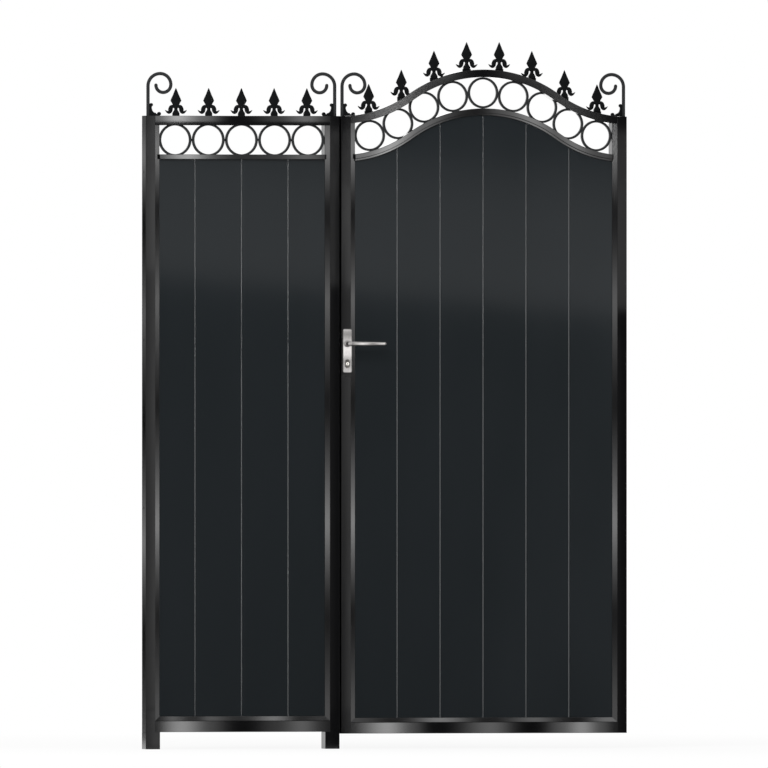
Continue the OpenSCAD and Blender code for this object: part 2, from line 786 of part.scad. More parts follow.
module side_brackets() {
  x = side_crook_in + crook_bar / 2;
  color(CAST_BLACK) through(orn_y - cast_t / 2, orn_y + cast_t / 2) {
    translate([side_x0 + x, shoulder_z]) bracket_outline();
    translate([side_x1 - x, shoulder_z]) mirror([1, 0]) bracket_outline();
  }
}

module leaf_brackets() {
  x = leaf_crook_in + crook_bar / 2;
  color(CAST_BLACK) through(orn_y - cast_t / 2, orn_y + cast_t / 2) difference() {
    union() {
      translate([leaf_x0 + x, shoulder_z]) bracket_outline();
      translate([leaf_x1 - x, shoulder_z]) mirror([1, 0]) bracket_outline();
    }
    translate([leaf_cx, 0]) under_arch(0, 0, shoulder_z - foot_w);
  }
}

// The openings that the latch bolt and the dead bolt pass through, with slack all round
module bolt_slots(x0, x1, slack) {
  for (b = [[latch_z, latch_h, latch_t], [dead_z, dead_h, dead_t]])
    block([x0, -b[2] / 2 - slack, b[0] - b[1] / 2 - slack], [x1, b[2] / 2 + slack, b[0] + b[1] / 2 + slack]);
}

// The flat keep on the post's face, opposite the lock
module keep() {
  color(STEEL) difference() {
    block([side_x1, -keep_w / 2, plate_z0], [side_x1 + keep_t, keep_w / 2, plate_z1]);
    bolt_slots(side_x1 - over, side_x1 + keep_t + over, keep_slack / 2);
    for (z = bolt_zs) rod_x(side_x1 - over, side_x1 + keep_t + over, 0, z, screw_r);
  }
}

module keep_screws() {
  face_x = side_x1 + keep_t;
  color(STEEL) for (z = bolt_zs) {
    rod_x(face_x - keep_screw_l, face_x, 0, z, screw_r);
    rod_x(face_x, face_x + keep_head_t, 0, z, keep_head_r);
  }
}

// One of the leaf's stiles, its outer edge on x = 0, cut to the arch beside its box
module leaf_upright() {
  difference() {
    upright(leaf_ground_gap, shoulder_z, leaf_flat_z);
    top_rail_clear();
  }
  difference() {
    translate([0, 0, shoulder_z - 2 * ring_drop]) linear_extrude(2 * ring_drop) jamb_plan();
    top_rail_clear();
    through(front_y - over, rear_y + over) translate([leaf_half, 0])
      under_arch(0, ring_drop, shoulder_z - 3 * ring_drop);
  }
}

// The space over the top rail's underside, beside a stile's box
module top_rail_clear() {
  through(front_y - over, rear_y + over) difference() {
    translate([flat_w, shoulder_z - 2 * leaf_top_h]) square([lip_w + over, 3 * leaf_top_h]);
    translate([leaf_half, 0]) under_arch(leaf_top_h, 0, shoulder_z - 3 * leaf_top_h);
  }
}

module lock_stile() {
  color(FRAME_BLACK) difference() {
    translate([leaf_x0, 0, 0]) leaf_upright();
    block([leaf_x0 - over, -faceplate_w / 2, faceplate_z0],
      [leaf_x0 + faceplate_t, faceplate_w / 2, faceplate_z1]);
    block([leaf_x0 - over, -case_t / 2 - slide_fit, case_z0 - slide_fit],
      [leaf_x0 + wall + over, case_t / 2 + slide_fit, case_z1 + slide_fit]);
    for (z = lock_screw_zs) rod_x(leaf_x0 - over, leaf_x0 + wall + over, 0, z, screw_r);
    rod_y(lever_x, lever_z, follower_r, front_y - over, rear_y + over);
    cylinder_shape(front_y - over, rear_y + over, slide_fit);
    for (z = bolt_zs) rod_y(lever_x, z, bolt_r + slide_fit, front_y - over, rear_y + over);
  }
}

module hinge_stile() {
  color(FRAME_BLACK) difference() {
    translate([leaf_x1, 0, 0]) mirror([1, 0, 0]) leaf_upright();
    hinge_screw_holes(screw_r, rear_y - wall - over, rear_y + over);
  }
}

module leaf_top_rail() {
  color(FRAME_BLACK) difference() {
    arch_box(leaf_top_h, 0, wall);
    leaf_ring_slots();
  }
}

module leaf_ring_rail() {
  color(FRAME_BLACK) difference() {
    union() {
      arch_box(leaf_ring_box, ring_drop, ring_rail_wall);
      arch_band(leaf_ring_box - ring_rail_wall, leaf_ring_box + leaf_ring_lip, ring_drop,
        front_y + arch_lip_set, board_y0);
    }
    lip_notches(leaf_x0, leaf_x1, shoulder_z - 2 * ring_drop, shoulder_z + over);
    leaf_ring_slots();
  }
}

module leaf_bottom_rail() {
  bottom_rail(leaf_x0, leaf_x1, leaf_ground_gap);
}

// The hinge screws' holes or shanks at both hinges
module hinge_screw_holes(r, y0, y1) {
  for (h = hinge_zs, z = hinge_screw_zs) rod_y(hinge_screw_x, h + z, r, y0, y1);
}

// The plate on the leaf: a flat plate, a neck and the middle knuckle
module leaf_plate(z) {
  color(FRAME_BLACK) difference() {
    union() {
      block([leaf_x1 - flat_w, rear_y, z - leaf_plate_half],
        [hinge_x - knuckle_r - hinge_space, rear_y + leaf_plate_t, z + leaf_plate_half]);
      block([leaf_x1 - flat_w, rear_y, z - knuckle_l / 2],
        [hinge_x, rear_y + leaf_plate_t, z + knuckle_l / 2]);
      translate([hinge_x, hinge_y, z - knuckle_l / 2]) cylinder(r = knuckle_r, h = knuckle_l);
    }
    translate([hinge_x, hinge_y, z - knuckle_l / 2 - over])
      cylinder(r = pin_r + turn_fit, h = knuckle_l + 2 * over);
    hinge_screw_holes(screw_r, rear_y - over, rear_y + leaf_plate_t + over);
  }
}

module upper_leaf_plate() {
  leaf_plate(hinge_zs[1]);
}

module lower_leaf_plate() {
  leaf_plate(hinge_zs[0]);
}

// The plate on the wall: its upper and lower knuckles clasp the leaf's knuckle
module wall_plate(z) {
  gap_half = knuckle_l / 2 + washer_t;
  color(FRAME_BLACK) difference() {
    union() {
      block([wall_x - wall_plate_t, rear_y + hinge_space, z - wall_plate_half],
        [wall_x, hinge_anchor_y + hinge_anchor_edge, z + wall_plate_half]);
      for (k = [-wall_plate_half, gap_half])
        translate([hinge_x, hinge_y, z + k]) cylinder(r = knuckle_r, h = wall_knuckle_l);
    }
    block([hinge_x - knuckle_r - over, rear_y, z - gap_half],
      [wall_x + over, hinge_y + knuckle_r + 2 * hinge_space, z + gap_half]);
    translate([hinge_x, hinge_y, z - wall_plate_half - over])
      cylinder(r = pin_r, h = 2 * (wall_plate_half + over));
    for (dz = [-0.5, 0.5] * hinge_anchor_pitch)
      rod_x(wall_x - wall_plate_t - over, wall_x + over, hinge_anchor_y, z + dz, anchor_r);
  }
}

module upper_wall_plate() {
  wall_plate(hinge_zs[1]);
}

module lower_wall_plate() {
  wall_plate(hinge_zs[0]);
}

module hinge_pins() {
  color(STEEL) for (z = hinge_zs) translate([hinge_x, hinge_y, z - wall_plate_half]) {
    cylinder(r = pin_r, h = 2 * wall_plate_half);
    translate([0, 0, 2 * wall_plate_half]) cylinder(r = pin_head_r, h = pin_head_t);
  }
}

module hinge_washers() {
  color(PLASTIC) for (h = hinge_zs, z = [-knuckle_l / 2 - washer_t, knuckle_l / 2])
    translate([hinge_x, hinge_y, h + z]) difference() {
      cylinder(r = knuckle_r - slide_fit, h = washer_t);
      translate([0, 0, -over]) cylinder(r = pin_r + turn_fit, h = washer_t + 2 * over);
    }
}

module hinge_screws() {
  color(STEEL) {
    hinge_screw_holes(screw_r, rear_y + leaf_plate_t - hinge_screw_l, rear_y + leaf_plate_t);
    hinge_screw_holes(screw_head_r, rear_y + leaf_plate_t, rear_y + leaf_plate_t + hinge_screw_head_t);
  }
}

// The oval of the cylinder, through the depth, widened by a clearance
module cylinder_shape(y0, y1, grow) {
  r = cyl_w / 2 + grow;
  half = (cyl_h - cyl_w) / 2;
  for (s = [-1, 1]) rod_y(lever_x, cyl_z + s * half, r, y0, y1);
  block([lever_x - r, y0, cyl_z - half], [lever_x + r, y1, cyl_z + half]);
}

// The lock case: a thin-walled box that the bolts slide in
module lock_case() {
  w = case_wall;
  color(DULL_STEEL) difference() {
    block([case_x0, -case_t / 2, case_z0], [case_x0 + case_w, case_t / 2, case_z1]);
    block([case_x0 + w, -case_t / 2 + w, case_z0 + w], [case_x0 + case_w - w, case_t / 2 - w, case_z1 - w]);
    bolt_slots(case_x0 - over, case_x0 + w + over, slide_fit);
    rod_y(lever_x, lever_z, follower_r, -case_t, case_t);
    cylinder_shape(-case_t, case_t, slide_fit);
  }
}

module lock_faceplate() {
  color(STEEL) difference() {
    block([leaf_x0, -faceplate_w / 2, faceplate_z0], [leaf_x0 + faceplate_t, faceplate_w / 2, faceplate_z1]);
    bolt_slots(leaf_x0 - over, leaf_x0 + faceplate_t + over, slide_fit);
    for (z = lock_screw_zs) rod_x(leaf_x0 - over, leaf_x0 + faceplate_t + over, 0, z, screw_r);
  }
}

// Two screws in the faceplate
module lock_screws() {
  color(STEEL) for (z = lock_screw_zs) rod_x(leaf_x0, leaf_x0 + lock_screw_l, 0, z, screw_r);
}

// The sprung latch, its nose bevelled so that it rides over the keep as the leaf closes
module latch_bolt() {
  nose_x = leaf_x0 - latch_out - over;
  color(DULL_STEEL) difference() {
    block([leaf_x0 - latch_out, -latch_t / 2, latch_z - latch_h / 2],
      [leaf_x0 + latch_tail, latch_t / 2, latch_z + latch_h / 2]);
    translate([0, 0, latch_z - latch_h]) linear_extrude(2 * latch_h)
      polygon([[nose_x, latch_face - latch_t / 2], [nose_x, latch_t / 2 + over],
        [leaf_x0, latch_t / 2 + over]]);
  }
}

module dead_bolt() {
  color(DULL_STEEL) block([leaf_x0, -dead_t / 2, dead_z - dead_h / 2],
    [leaf_x0 + dead_l, dead_t / 2, dead_z + dead_h / 2]);
}

// The hub in the lock case that the spindle turns
module follower() {
  color(DULL_STEEL) difference() {
    rod_y(lever_x, lever_z, follower_r, -follower_t / 2, follower_t / 2);
    spindle_bar(-follower_t, follower_t);
  }
}

module spindle_bar(y0, y1) {
  half = spindle_w / 2;
  block([lever_x - half, y0, lever_z - half], [lever_x + half, y1, lever_z + half]);
}

module spindle() {
  reach = rear_y + plate_t + finger_gap / 2;
  color(STEEL) spindle_bar(-reach, reach);
}

module cylinder_body() {
  half = cyl_len / 2;
  cam_half = cam_t / 2 + slide_fit;
  color(NICKEL) difference() {
    cylinder_shape(-half, half, 0);
    rod_y(lever_x, cyl_z, plug_d / 2 + turn_fit, -half - over, half + over);
    rod_y(lever_x, cyl_z, cam_r + slide_fit, -cam_half, cam_half);
    block([lever_x - cyl_w, -cam_half, cyl_z], [lever_x + cyl_w, cam_half, cyl_z + cyl_h]);
  }
}

// The plug that the key turns, with the cam that throws the dead bolt
module cylinder_plug() {
  half = cyl_len / 2;
  color(NICKEL) difference() {
    union() {
      rod_y(lever_x, cyl_z, plug_d / 2, -half, half);
      intersection() {
        rod_y(lever_x, cyl_z, cam_r, -cam_t / 2, cam_t / 2);
        block([lever_x - cam_w / 2, -cam_t, cyl_z - cam_r], [lever_x + cam_w / 2, cam_t, cyl_z]);
      }
    }
    for (y = [-half - over, half - keyway_l])
      block([lever_x - keyway_w / 2, y, cyl_z - keyway_h / 2],
        [lever_x + keyway_w / 2, y + keyway_l + over, cyl_z + keyway_h / 2]);
  }
}

// A handle plate between two depths, with holes for the lever, the cylinder and the bolts
module handle_plate(y0, y1) {
  w = plate_w / 2 - plate_corner;
  color(STEEL) difference() {
    union() {
      for (x = [-w, w], z = bolt_zs) rod_y(lever_x + x, z, plate_corner, y0, y1);
      block([lever_x - plate_w / 2, y0, bolt_zs[0]], [lever_x + plate_w / 2, y1, bolt_zs[1]]);
      block([lever_x - w, y0, plate_z0], [lever_x + w, y1, plate_z1]);
    }
    rod_y(lever_x, lever_z, collar_neck_d / 2 + turn_fit, y0 - over, y1 + over);
    cylinder_shape(y0 - over, y1 + over, slide_fit);
    children();
  }
}

module front_plate() {
  handle_plate(front_y - plate_t, front_y)
    for (z = bolt_zs) rod_y(lever_x, z, bolt_r, front_y - plate_t / 2, front_y + over);
}

module rear_plate() {
  handle_plate(rear_y, rear_y + plate_t)
    for (z = bolt_zs) {
      rod_y(lever_x, z, bolt_r, rear_y - over, rear_y + plate_t + over);
      rod_y(lever_x, z, bolt_head_r, rear_y + plate_t - bolt_head_t, rear_y + plate_t + over);
    }
}

// Bolts from the rear plate through the stile into the front plate
module plate_bolts() {
  color(STEEL) for (z = bolt_zs) {
    rod_y(lever_x, z, bolt_r, front_y - plate_t / 2, rear_y + plate_t - bolt_head_t);
    rod_y(lever_x, z, bolt_head_r, rear_y + plate_t - bolt_head_t, rear_y + plate_t);
  }
}

// A lever on the front: collar, neck and a grip that narrows to a round tip
module lever() {
  grip_y1 = front_y - plate_t - finger_gap;
  grip_y0 = grip_y1 - grip_t;
  tip_r = grip_h2 / 2;
  tip_x = lever_x + lever_l - tip_r;
  color(STEEL) difference() {
    union() {
      rod_y(lever_x, lever_z, collar_neck_d / 2, front_y - plate_t - collar_proud, front_y);
      rod_y(lever_x, lever_z, neck_d / 2, grip_y0, front_y - plate_t);
      through(grip_y0, grip_y1) {
        polygon([[lever_x, lever_z - grip_h1 / 2], [tip_x, lever_z - tip_r], [tip_x, lever_z + tip_r],
          [lever_x, lever_z + grip_h1 / 2]]);
        translate([tip_x, lever_z]) circle(r = tip_r);
      }
    }
    spindle_bar(front_y - plate_t - finger_gap / 2, front_y + over);
  }
}

module front_lever() {
  lever();
}

module rear_lever() {
  mirror([0, 1, 0]) lever();
}

left_post();
right_post();
side_top_rail();
side_ring_rail();
side_bottom_rail();
left_leg();
right_leg();
leg_plugs();
post_caps();
for (i = [1:4]) side_board(i);
side_rear_beads();
side_rings();
side_ring_collars();
side_finials();
side_crooks();
side_brackets();
keep();
keep_screws();
upper_wall_plate();
lower_wall_plate();
hinge_pins();
lock_stile();
hinge_stile();
leaf_top_rail();
leaf_ring_rail();
leaf_bottom_rail();
for (i = [1:6]) leaf_board(i);
leaf_rear_beads();
leaf_rings();
leaf_finials();
leaf_crooks();
leaf_brackets();
stile_caps();
upper_leaf_plate();
lower_leaf_plate();
hinge_screws();
hinge_washers();
lock_case();
lock_faceplate();
lock_screws();
cylinder_body();
front_plate();
rear_plate();
plate_bolts();
front_lever();
rear_lever();
spindle();
follower();
latch_bolt();
dead_bolt();
cylinder_plug();
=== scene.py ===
# %% [markdown]
# # A bell-arched side gate in black aluminium
#
# The gate is two things side by side: a fixed panel on two legs, and a leaf that hangs on two hinges.
# Both are frames of black box section round upright boards, with a band of rings under the top rail
# and cast spear finials and scrolled crooks above it. The construction is already settled as a frame
# of named nodes at their real size. This lesson gives each node its finish, rounds the edges that a
# real extrusion has rounded, and models the pieces whose beauty is in their shape again.

# %% Load the frame
import json
import math

import bmesh
import bpy
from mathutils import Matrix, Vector


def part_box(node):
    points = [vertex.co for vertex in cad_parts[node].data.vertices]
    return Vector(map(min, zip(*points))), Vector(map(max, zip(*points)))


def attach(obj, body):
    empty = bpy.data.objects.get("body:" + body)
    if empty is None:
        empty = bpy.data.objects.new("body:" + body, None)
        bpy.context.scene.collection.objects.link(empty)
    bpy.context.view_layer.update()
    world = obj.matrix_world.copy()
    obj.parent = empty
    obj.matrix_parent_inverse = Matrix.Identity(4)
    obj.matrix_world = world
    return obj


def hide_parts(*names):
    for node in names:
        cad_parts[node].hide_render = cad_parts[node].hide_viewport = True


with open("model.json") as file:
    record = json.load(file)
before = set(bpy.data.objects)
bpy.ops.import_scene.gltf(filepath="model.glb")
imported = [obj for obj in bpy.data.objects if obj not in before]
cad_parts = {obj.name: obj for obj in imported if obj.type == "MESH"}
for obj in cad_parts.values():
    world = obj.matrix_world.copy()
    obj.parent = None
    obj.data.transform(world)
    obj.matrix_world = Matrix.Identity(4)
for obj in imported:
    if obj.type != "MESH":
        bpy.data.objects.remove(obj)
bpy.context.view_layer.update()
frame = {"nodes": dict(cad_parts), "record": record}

nodes = frame["nodes"]
body_of = {name: body for body, names in frame["record"]["behaviour"]["bodies"].items() for name in names}
slot_of = {part["node"]: part["material_slot"] for part in frame["record"]["subparts"]}

# %% [markdown]
# Blender works in metres, and a gate maker works in millimetres, so one constant turns the second
# into the first. Places are read off the frame's own boxes wherever a box gives them. That way the
# looks follow the construction, and no number is written down twice.

# %% Places on the frame
MM = 0.001

post_low, post_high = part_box("left_post")
front_y, rear_y, shoulder_z = post_low.y, post_high.y, post_high.z
board_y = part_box("side_board_1")[0].y
panel_x0, panel_x1 = post_low.x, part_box("right_post")[1].x
leaf_x0, leaf_x1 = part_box("lock_stile")[0].x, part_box("hinge_stile")[1].x
leaf_mid, leaf_half = (leaf_x0 + leaf_x1) / 2, (leaf_x1 - leaf_x0) / 2
post_w = post_high.x - panel_x0
flat_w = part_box("side_top_rail")[0].x - panel_x0
ornament_y = (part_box("side_rings")[0].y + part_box("side_rings")[1].y) / 2
print("panel:", round(panel_x1 - panel_x0, 4), "leaf:", round(leaf_x1 - leaf_x0, 4),
      "post:", round(post_w, 4))

# %% [markdown]
# ## Small helpers
#
# Colours are written as sRGB hex, the way a paint card gives them, and one function turns them into
# the linear numbers that the renderer works with. Another empties the node tree of a new material,
# and a third adds a node with its settings and links, so that a material reads as a list of what
# feeds what.

# %% Colours and nodes
def linear(code):
    """An sRGB hex colour as linear red, green, blue and alpha."""
    parts = [int(code[i:i + 2], 16) / 255 for i in (1, 3, 5)]
    return [c / 12.92 if c <= 0.04045 else ((c + 0.055) / 1.055) ** 2.4 for c in parts] + [1.0]


def emptied(owner):
    """The node tree of a material or a world, with nothing in it."""
    owner.use_nodes = True
    owner.node_tree.nodes.clear()
    return owner.node_tree


def add(tree, kind, inputs=None, **settings):
    """Adds a node; an input is a plain value, or the socket that feeds it."""
    node = tree.nodes.new(kind)
    for name, value in settings.items():
        setattr(node, name, value)
    for name, value in (inputs or {}).items():
        if isinstance(value, bpy.types.NodeSocket):
            tree.links.new(value, node.inputs[name])
        else:
            node.inputs[name].default_value = value
    return node


print("half grey, #808080, is linear", round(linear("#808080")[0], 3))

# %% [markdown]
# Every finish is built the same way: one Principled shader, the object's own coordinates and two
# noises. Each piece sits at the origin, so the coordinates are metres on the real gate, and a noise
# with grains of one size has a scale of one over that size. The first noise, the tone, moves the
# roughness and the colour a little. The second, the grain, gives the surface its relief. Noise mostly
# lies between 0.3 and 0.7, so that part of it is spread over each range of values.

# %% How a finish is built
NOISE_LOW, NOISE_HIGH = 0.3, 0.7
EVEN = (1, 1, 1)


def surface(name, dark, light, rough, tone, grain, depth, relief=0.5, tint_by="tone", **values):
    """A material between two colours and between two roughnesses. Tone and grain each have a size, a
    detail and a stretch along the axes, and depth is the depth of the relief in metres."""
    material = bpy.data.materials.new(name)
    tree = emptied(material)
    place = add(tree, "ShaderNodeTexCoord").outputs["Object"]
    noise = {}
    for use, (size, detail, stretch) in (("tone", tone), ("grain", grain)):
        drawn_out = add(tree, "ShaderNodeMapping", {"Vector": place, "Scale": [1 / s for s in stretch]})
        spots = add(tree, "ShaderNodeTexNoise", {
            "Vector": drawn_out.outputs["Vector"], "Scale": 1 / size, "Detail": detail})
        noise[use] = spots.outputs["Fac"]
    tint = add(tree, "ShaderNodeMix", {"Factor": noise[tint_by], 6: linear(dark), 7: linear(light)},
               data_type="RGBA")
    polish = add(tree, "ShaderNodeMapRange", {
        "Value": noise["tone"], "From Min": NOISE_LOW, "From Max": NOISE_HIGH,
        "To Min": rough[0], "To Max": rough[1]})
    skin = add(tree, "ShaderNodeBump", {"Height": noise["grain"], "Distance": depth, "Strength": relief})
    shader = add(tree, "ShaderNodeBsdfPrincipled", {
        "Base Color": tint.outputs[2], "Roughness": polish.outputs["Result"],
        "Normal": skin.outputs["Normal"], **values})
    add(tree, "ShaderNodeOutputMaterial", {"Surface": shader.outputs["BSDF"]})
    return material


print("noise is spread from", NOISE_LOW, "to", NOISE_HIGH)

# %% [markdown]
# ## The finishes
#
# The frame is extruded aluminium under gloss black polyester powder coat. Powder melts into a film
# that is smooth but never quite flat: a faint orange peel, a few millimetres from crest to crest,
# makes reflections swim a little. The real one is finer than the render can show, so it is drawn at
# the coarse end of its range and very shallow.

# %% Gloss black powder coat
gloss_coat = surface("gloss_black_powder_coat", "#0a0a0b", "#0d0d0e", (0.13, 0.17),
                     tone=(90 * MM, 2, EVEN), grain=(5 * MM, 2, EVEN), depth=0.02 * MM, IOR=1.5)
print("made:", gloss_coat.name)

# %% [markdown]
# The boards are extruded too, in a satin anthracite powder coat. Satin powder has a finer, tighter
# grain than gloss, and over two metres the film is never one even tone, so a slow noise moves the
# colour and the roughness very slightly.

# %% Satin anthracite powder coat
board_coat = surface("satin_anthracite_powder_coat", "#1b1f21", "#1f2326", (0.22, 0.27),
                     tone=(260 * MM, 2, (1, 1, 3)), grain=(1.6 * MM, 2, EVEN), depth=0.02 * MM,
                     relief=0.4, IOR=1.45)
print("made:", board_coat.name)

# %% [markdown]
# Rings, finials, brackets and crooks are cast or bent aluminium, coated black. A sand casting keeps
# the grain of its mould under the paint, so it reads duller and rougher than the extrusions beside
# it: a deeper relief, and a roughness that wanders. The bent bars of the rings and crooks have the
# same paint over a drawn surface, and come out a little greyer than the finials.

# %% Painted casting
def painted_casting(name, dark, light):
    """Black paint over a cast or bent bar."""
    return surface(name, dark, light, (0.28, 0.38), tone=(11 * MM, 2, EVEN), grain=(2.2 * MM, 4, EVEN),
                   depth=0.06 * MM, IOR=1.2)


bar_finish = painted_casting("black_painted_bar", "#28292a", "#2e2f30")
print("made:", bar_finish.name)

# %% [markdown]
# The handle is satin stainless steel. It is brushed along its length, which leaves fine grooves that
# spread highlights across them. Noise stretched along the brushing direction gives the colour and a
# hair of relief, and a cloudier one the roughness. It is bare metal, so it has no coat and no diffuse
# part. The plates are brushed upright and the levers lengthways.

# %% Brushed stainless steel
def brushed_stainless(name, stretch):
    """Bare stainless steel with its grooves along the axis that is stretched."""
    return surface(name, "#b9b6b5", "#d9d6d4", (0.19, 0.25), tone=(16 * MM, 2, EVEN),
                   grain=(1.2 * MM, 4, stretch), depth=0.006 * MM, tint_by="grain",
                   Metallic=1.0, Anisotropic=0.35)


lever_finish = brushed_stainless("brushed_stainless_lengthways", (14, 1, 1))
print("made:", lever_finish.name)

# %% [markdown]
# The small metals are simpler. Zinc plate is grey with a cloudy passivation, the lock cylinder has a
# warmer satin nickel, and the hinges are steel under satin black paint. The nylon of the plugs and
# washers is moulded, with a fine eroded skin.

# %% Small finishes
def small_metal(name, dark, light, rough, cloud):
    """A plated metal with a cloudy tone and fine upright scratches."""
    return surface(name, dark, light, (rough - 0.05, rough + 0.07), tone=(cloud, 3, EVEN),
                   grain=(0.8 * MM, 2, (1, 1, 8)), depth=0.01 * MM, Metallic=1.0)


def small_coat(name, dark, light, rough, grain_size, depth):
    """Paint or nylon whose tone and relief are one grain."""
    grain = (grain_size, 3, EVEN)
    return surface(name, dark, light, (rough - 0.04, rough + 0.04), tone=grain, grain=grain, depth=depth,
                   IOR=1.5)


finish = {
    "black_powder_coat": gloss_coat,
    "board_powder_coat": board_coat,
    "black_cast": painted_casting("black_painted_casting", "#101112", "#171819"),
    "satin_stainless": brushed_stainless("brushed_stainless_upright", (1, 1, 14)),
    "hinge_steel": small_coat("satin_black_painted_steel", "#0e0e0f", "#141415", 0.3, 3 * MM, 0.05 * MM),
    "zinc_steel": small_metal("bright_zinc_plate", "#8d9194", "#b3b7ba", 0.34, 5 * MM),
    "lock_nickel": small_metal("satin_nickel_plate", "#b4b1ab", "#d0cdc7", 0.28, 6 * MM),
    "black_nylon": small_coat("moulded_black_nylon", "#0d0d0e", "#121213", 0.5, 1.2 * MM, 0.04 * MM),
}
print("finishes:", sorted(finish))

# %% [markdown]
# ## Turning modifiers into plain mesh
#
# Modifiers and Geometry Nodes are recipes, and a plain mesh keeps only their result. This helper
# evaluates an object, keeps the mesh and drops the recipe. It shades the mesh smooth, keeps edges
# crisp past an angle, and weights the normals by face size. A long face of a gate shows the smallest
# tilt of a corner's normal along its whole length, so the corners of every large face are set square
# to it afterwards, and only the narrow rounded edges between bend the light. Each finished piece is
# then tied to the body that it moves with, and to the node that it stands for.

# %% Baking
def baked(piece):
    """Replaces an object's modifiers by the plain mesh that they make."""
    graph = bpy.context.evaluated_depsgraph_get()
    mesh = bpy.data.meshes.new_from_object(piece.evaluated_get(graph), depsgraph=graph)
    piece.modifiers.clear()
    piece.data = mesh
    mesh.name = piece.name
    return piece


def shaded(piece, sharp=38, large=0.003):
    """Smooth shading, crisp past an angle in degrees, with faces over an area in m2 kept flat."""
    piece.data.shade_smooth()
    piece.data.set_sharp_from_angle(angle=math.radians(sharp))
    weigh = piece.modifiers.new("weigh", "WEIGHTED_NORMAL")
    weigh.keep_sharp = True
    baked(piece)
    normals = [corner.vector.copy() for corner in piece.data.corner_normals]
    for face in piece.data.polygons:
        if face.area > large:
            for corner in face.loop_indices:
                normals[corner] = face.normal
    piece.data.normals_split_custom_set(normals)
    return piece


def new_piece(name, mesh):
    """An object in the scene for a mesh."""
    piece = bpy.data.objects.new(name, mesh)
    bpy.context.scene.collection.objects.link(piece)
    return piece


def from_bmesh(name, bm):
    """An object in the scene for a bmesh, which is then freed."""
    mesh = bpy.data.meshes.new(name)
    bm.to_mesh(mesh)
    bm.free()
    return new_piece(name, mesh)


dressed = []


def dress(piece, *stands_for, material=None):
    """Gives a piece the body, slot and finish of the CAD nodes that it stands for."""
    slot = slot_of[stands_for[0]]
    dressed.append(piece.name)
    piece.data.materials.clear()
    piece.data.materials.append(material or finish[slot])
    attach(piece, body_of[stands_for[0]])
    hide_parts(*stands_for)
    return piece


print("helpers ready for", len(finish), "finishes")

# %% [markdown]
# ## Extrusions with rounded edges
#
# An extrusion die can't cut a knife edge: every corner of the real section has a radius of about a
# millimetre, and the powder rounds it a little more. That radius catches the thin bright lines that
# make a black gate readable. So each straight member is a copy of its node with the loose triangles
# merged, the flat faces joined up again, and a true bevel along its long edges. Short edges belong
# to bolt holes and slots, and they stay crisp.

# %% Rounding an extrusion
MERGE, TOUCH = 0.01 * MM, 0.05 * MM
FLAT = math.radians(0.6)


def clean_copy(name):
    """A CAD node's mesh as a bmesh, with its triangles merged and its flat faces whole."""
    bm = bmesh.new()
    bm.from_mesh(nodes[name].data)
    bmesh.ops.remove_doubles(bm, verts=bm.verts, dist=MERGE)
    bmesh.ops.dissolve_limit(bm, angle_limit=FLAT, verts=bm.verts, edges=bm.edges)
    return bm


def round_edges(bm, radius, pick, steps=3):
    """Bevels the edges that a test picks."""
    edges = [edge for edge in bm.edges if len(edge.link_faces) == 2 and pick(edge)]
    bmesh.ops.bevel(bm, geom=edges, offset=radius, offset_type="OFFSET", segments=steps,
                    profile=0.5, affect="EDGES", clamp_overlap=False)


def is_long_corner(edge, shortest=20 * MM, angle=20):
    """Is this edge a corner of the section, and not the rim of a hole or slot?"""
    return edge.calc_length() > shortest and edge.calc_face_angle() > math.radians(angle)


def extrusion(name, radius=1.0 * MM):
    """A straight member with the edges along its length rounded."""
    low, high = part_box(name)
    span = high - low
    longest = max(range(3), key=lambda axis: span[axis])
    nearly = 0.9

    def along_it(edge):
        """Is this edge a corner that runs the length of the member?"""
        run = edge.verts[1].co - edge.verts[0].co
        return is_long_corner(edge) and abs(run[longest]) > nearly * run.length

    bm = clean_copy(name)
    round_edges(bm, radius, along_it)
    return dress(shaded(from_bmesh(name + "_rounded", bm)), name)


upright_members = ["left_post", "right_post", "lock_stile", "hinge_stile"]
other_members = ["left_leg", "right_leg", "side_top_rail", "side_ring_rail", "side_bottom_rail",
                 "leaf_bottom_rail"]
for member in upright_members + other_members:
    extrusion(member)
print("straight members rounded:", len(upright_members + other_members))

# %% [markdown]
# ## Boards
#
# Each board is a hollow extrusion with a small chamfer down both edges, so two boards side by side
# make a V. The real V is shallow. A deep one would throw its own facets into shadow, and the photo
# of such a gate shows one bright thread beside one dark thread at each joint. The fix is a small
# move of the vertices at the bottom of the V, which keeps the board's face and width as they are.

# %% Boards with shallow V joints
v_depth_cad, v_depth = 3 * MM, 1.2 * MM


def board(name):
    """A board whose front chamfers are as shallow as the real ones."""
    bm = clean_copy(name)
    for vert in bm.verts:
        if abs(vert.co.y - board_y - v_depth_cad) < TOUCH:
            vert.co.y = board_y + v_depth
    return dress(shaded(from_bmesh(name + "_coated", bm), sharp=15), name)


board_names = sorted(name for name in nodes if "_board_" in name)
for name in board_names:
    board(name)
print("boards:", len(board_names))

# %% [markdown]
# ## The bell arch
#
# The leaf's top edge is an ogee: a round crown, and two hollow flanks that meet it without a kink
# and run level into the stiles. Two radii and one turn angle describe all of it. The height of the
# curve at any distance from the middle is one short function, and so is the place at a given length
# along it, which the rings need later.

# %% The arch as a formula
crown_r = 420 * MM
arch_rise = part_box("leaf_top_rail")[1].z - shoulder_z
arch_turn = 2 * math.atan(arch_rise / leaf_half)
flank_r = leaf_half / math.sin(arch_turn) - crown_r
crown_reach = crown_r * math.sin(arch_turn)


def arch_z(x):
    """Height of the arch's top edge at a distance from the leaf's middle."""
    if abs(x) < crown_reach:
        return shoulder_z + arch_rise - crown_r + math.sqrt(crown_r ** 2 - x ** 2)
    return shoulder_z + flank_r - math.sqrt(flank_r ** 2 - (leaf_half - abs(x)) ** 2)


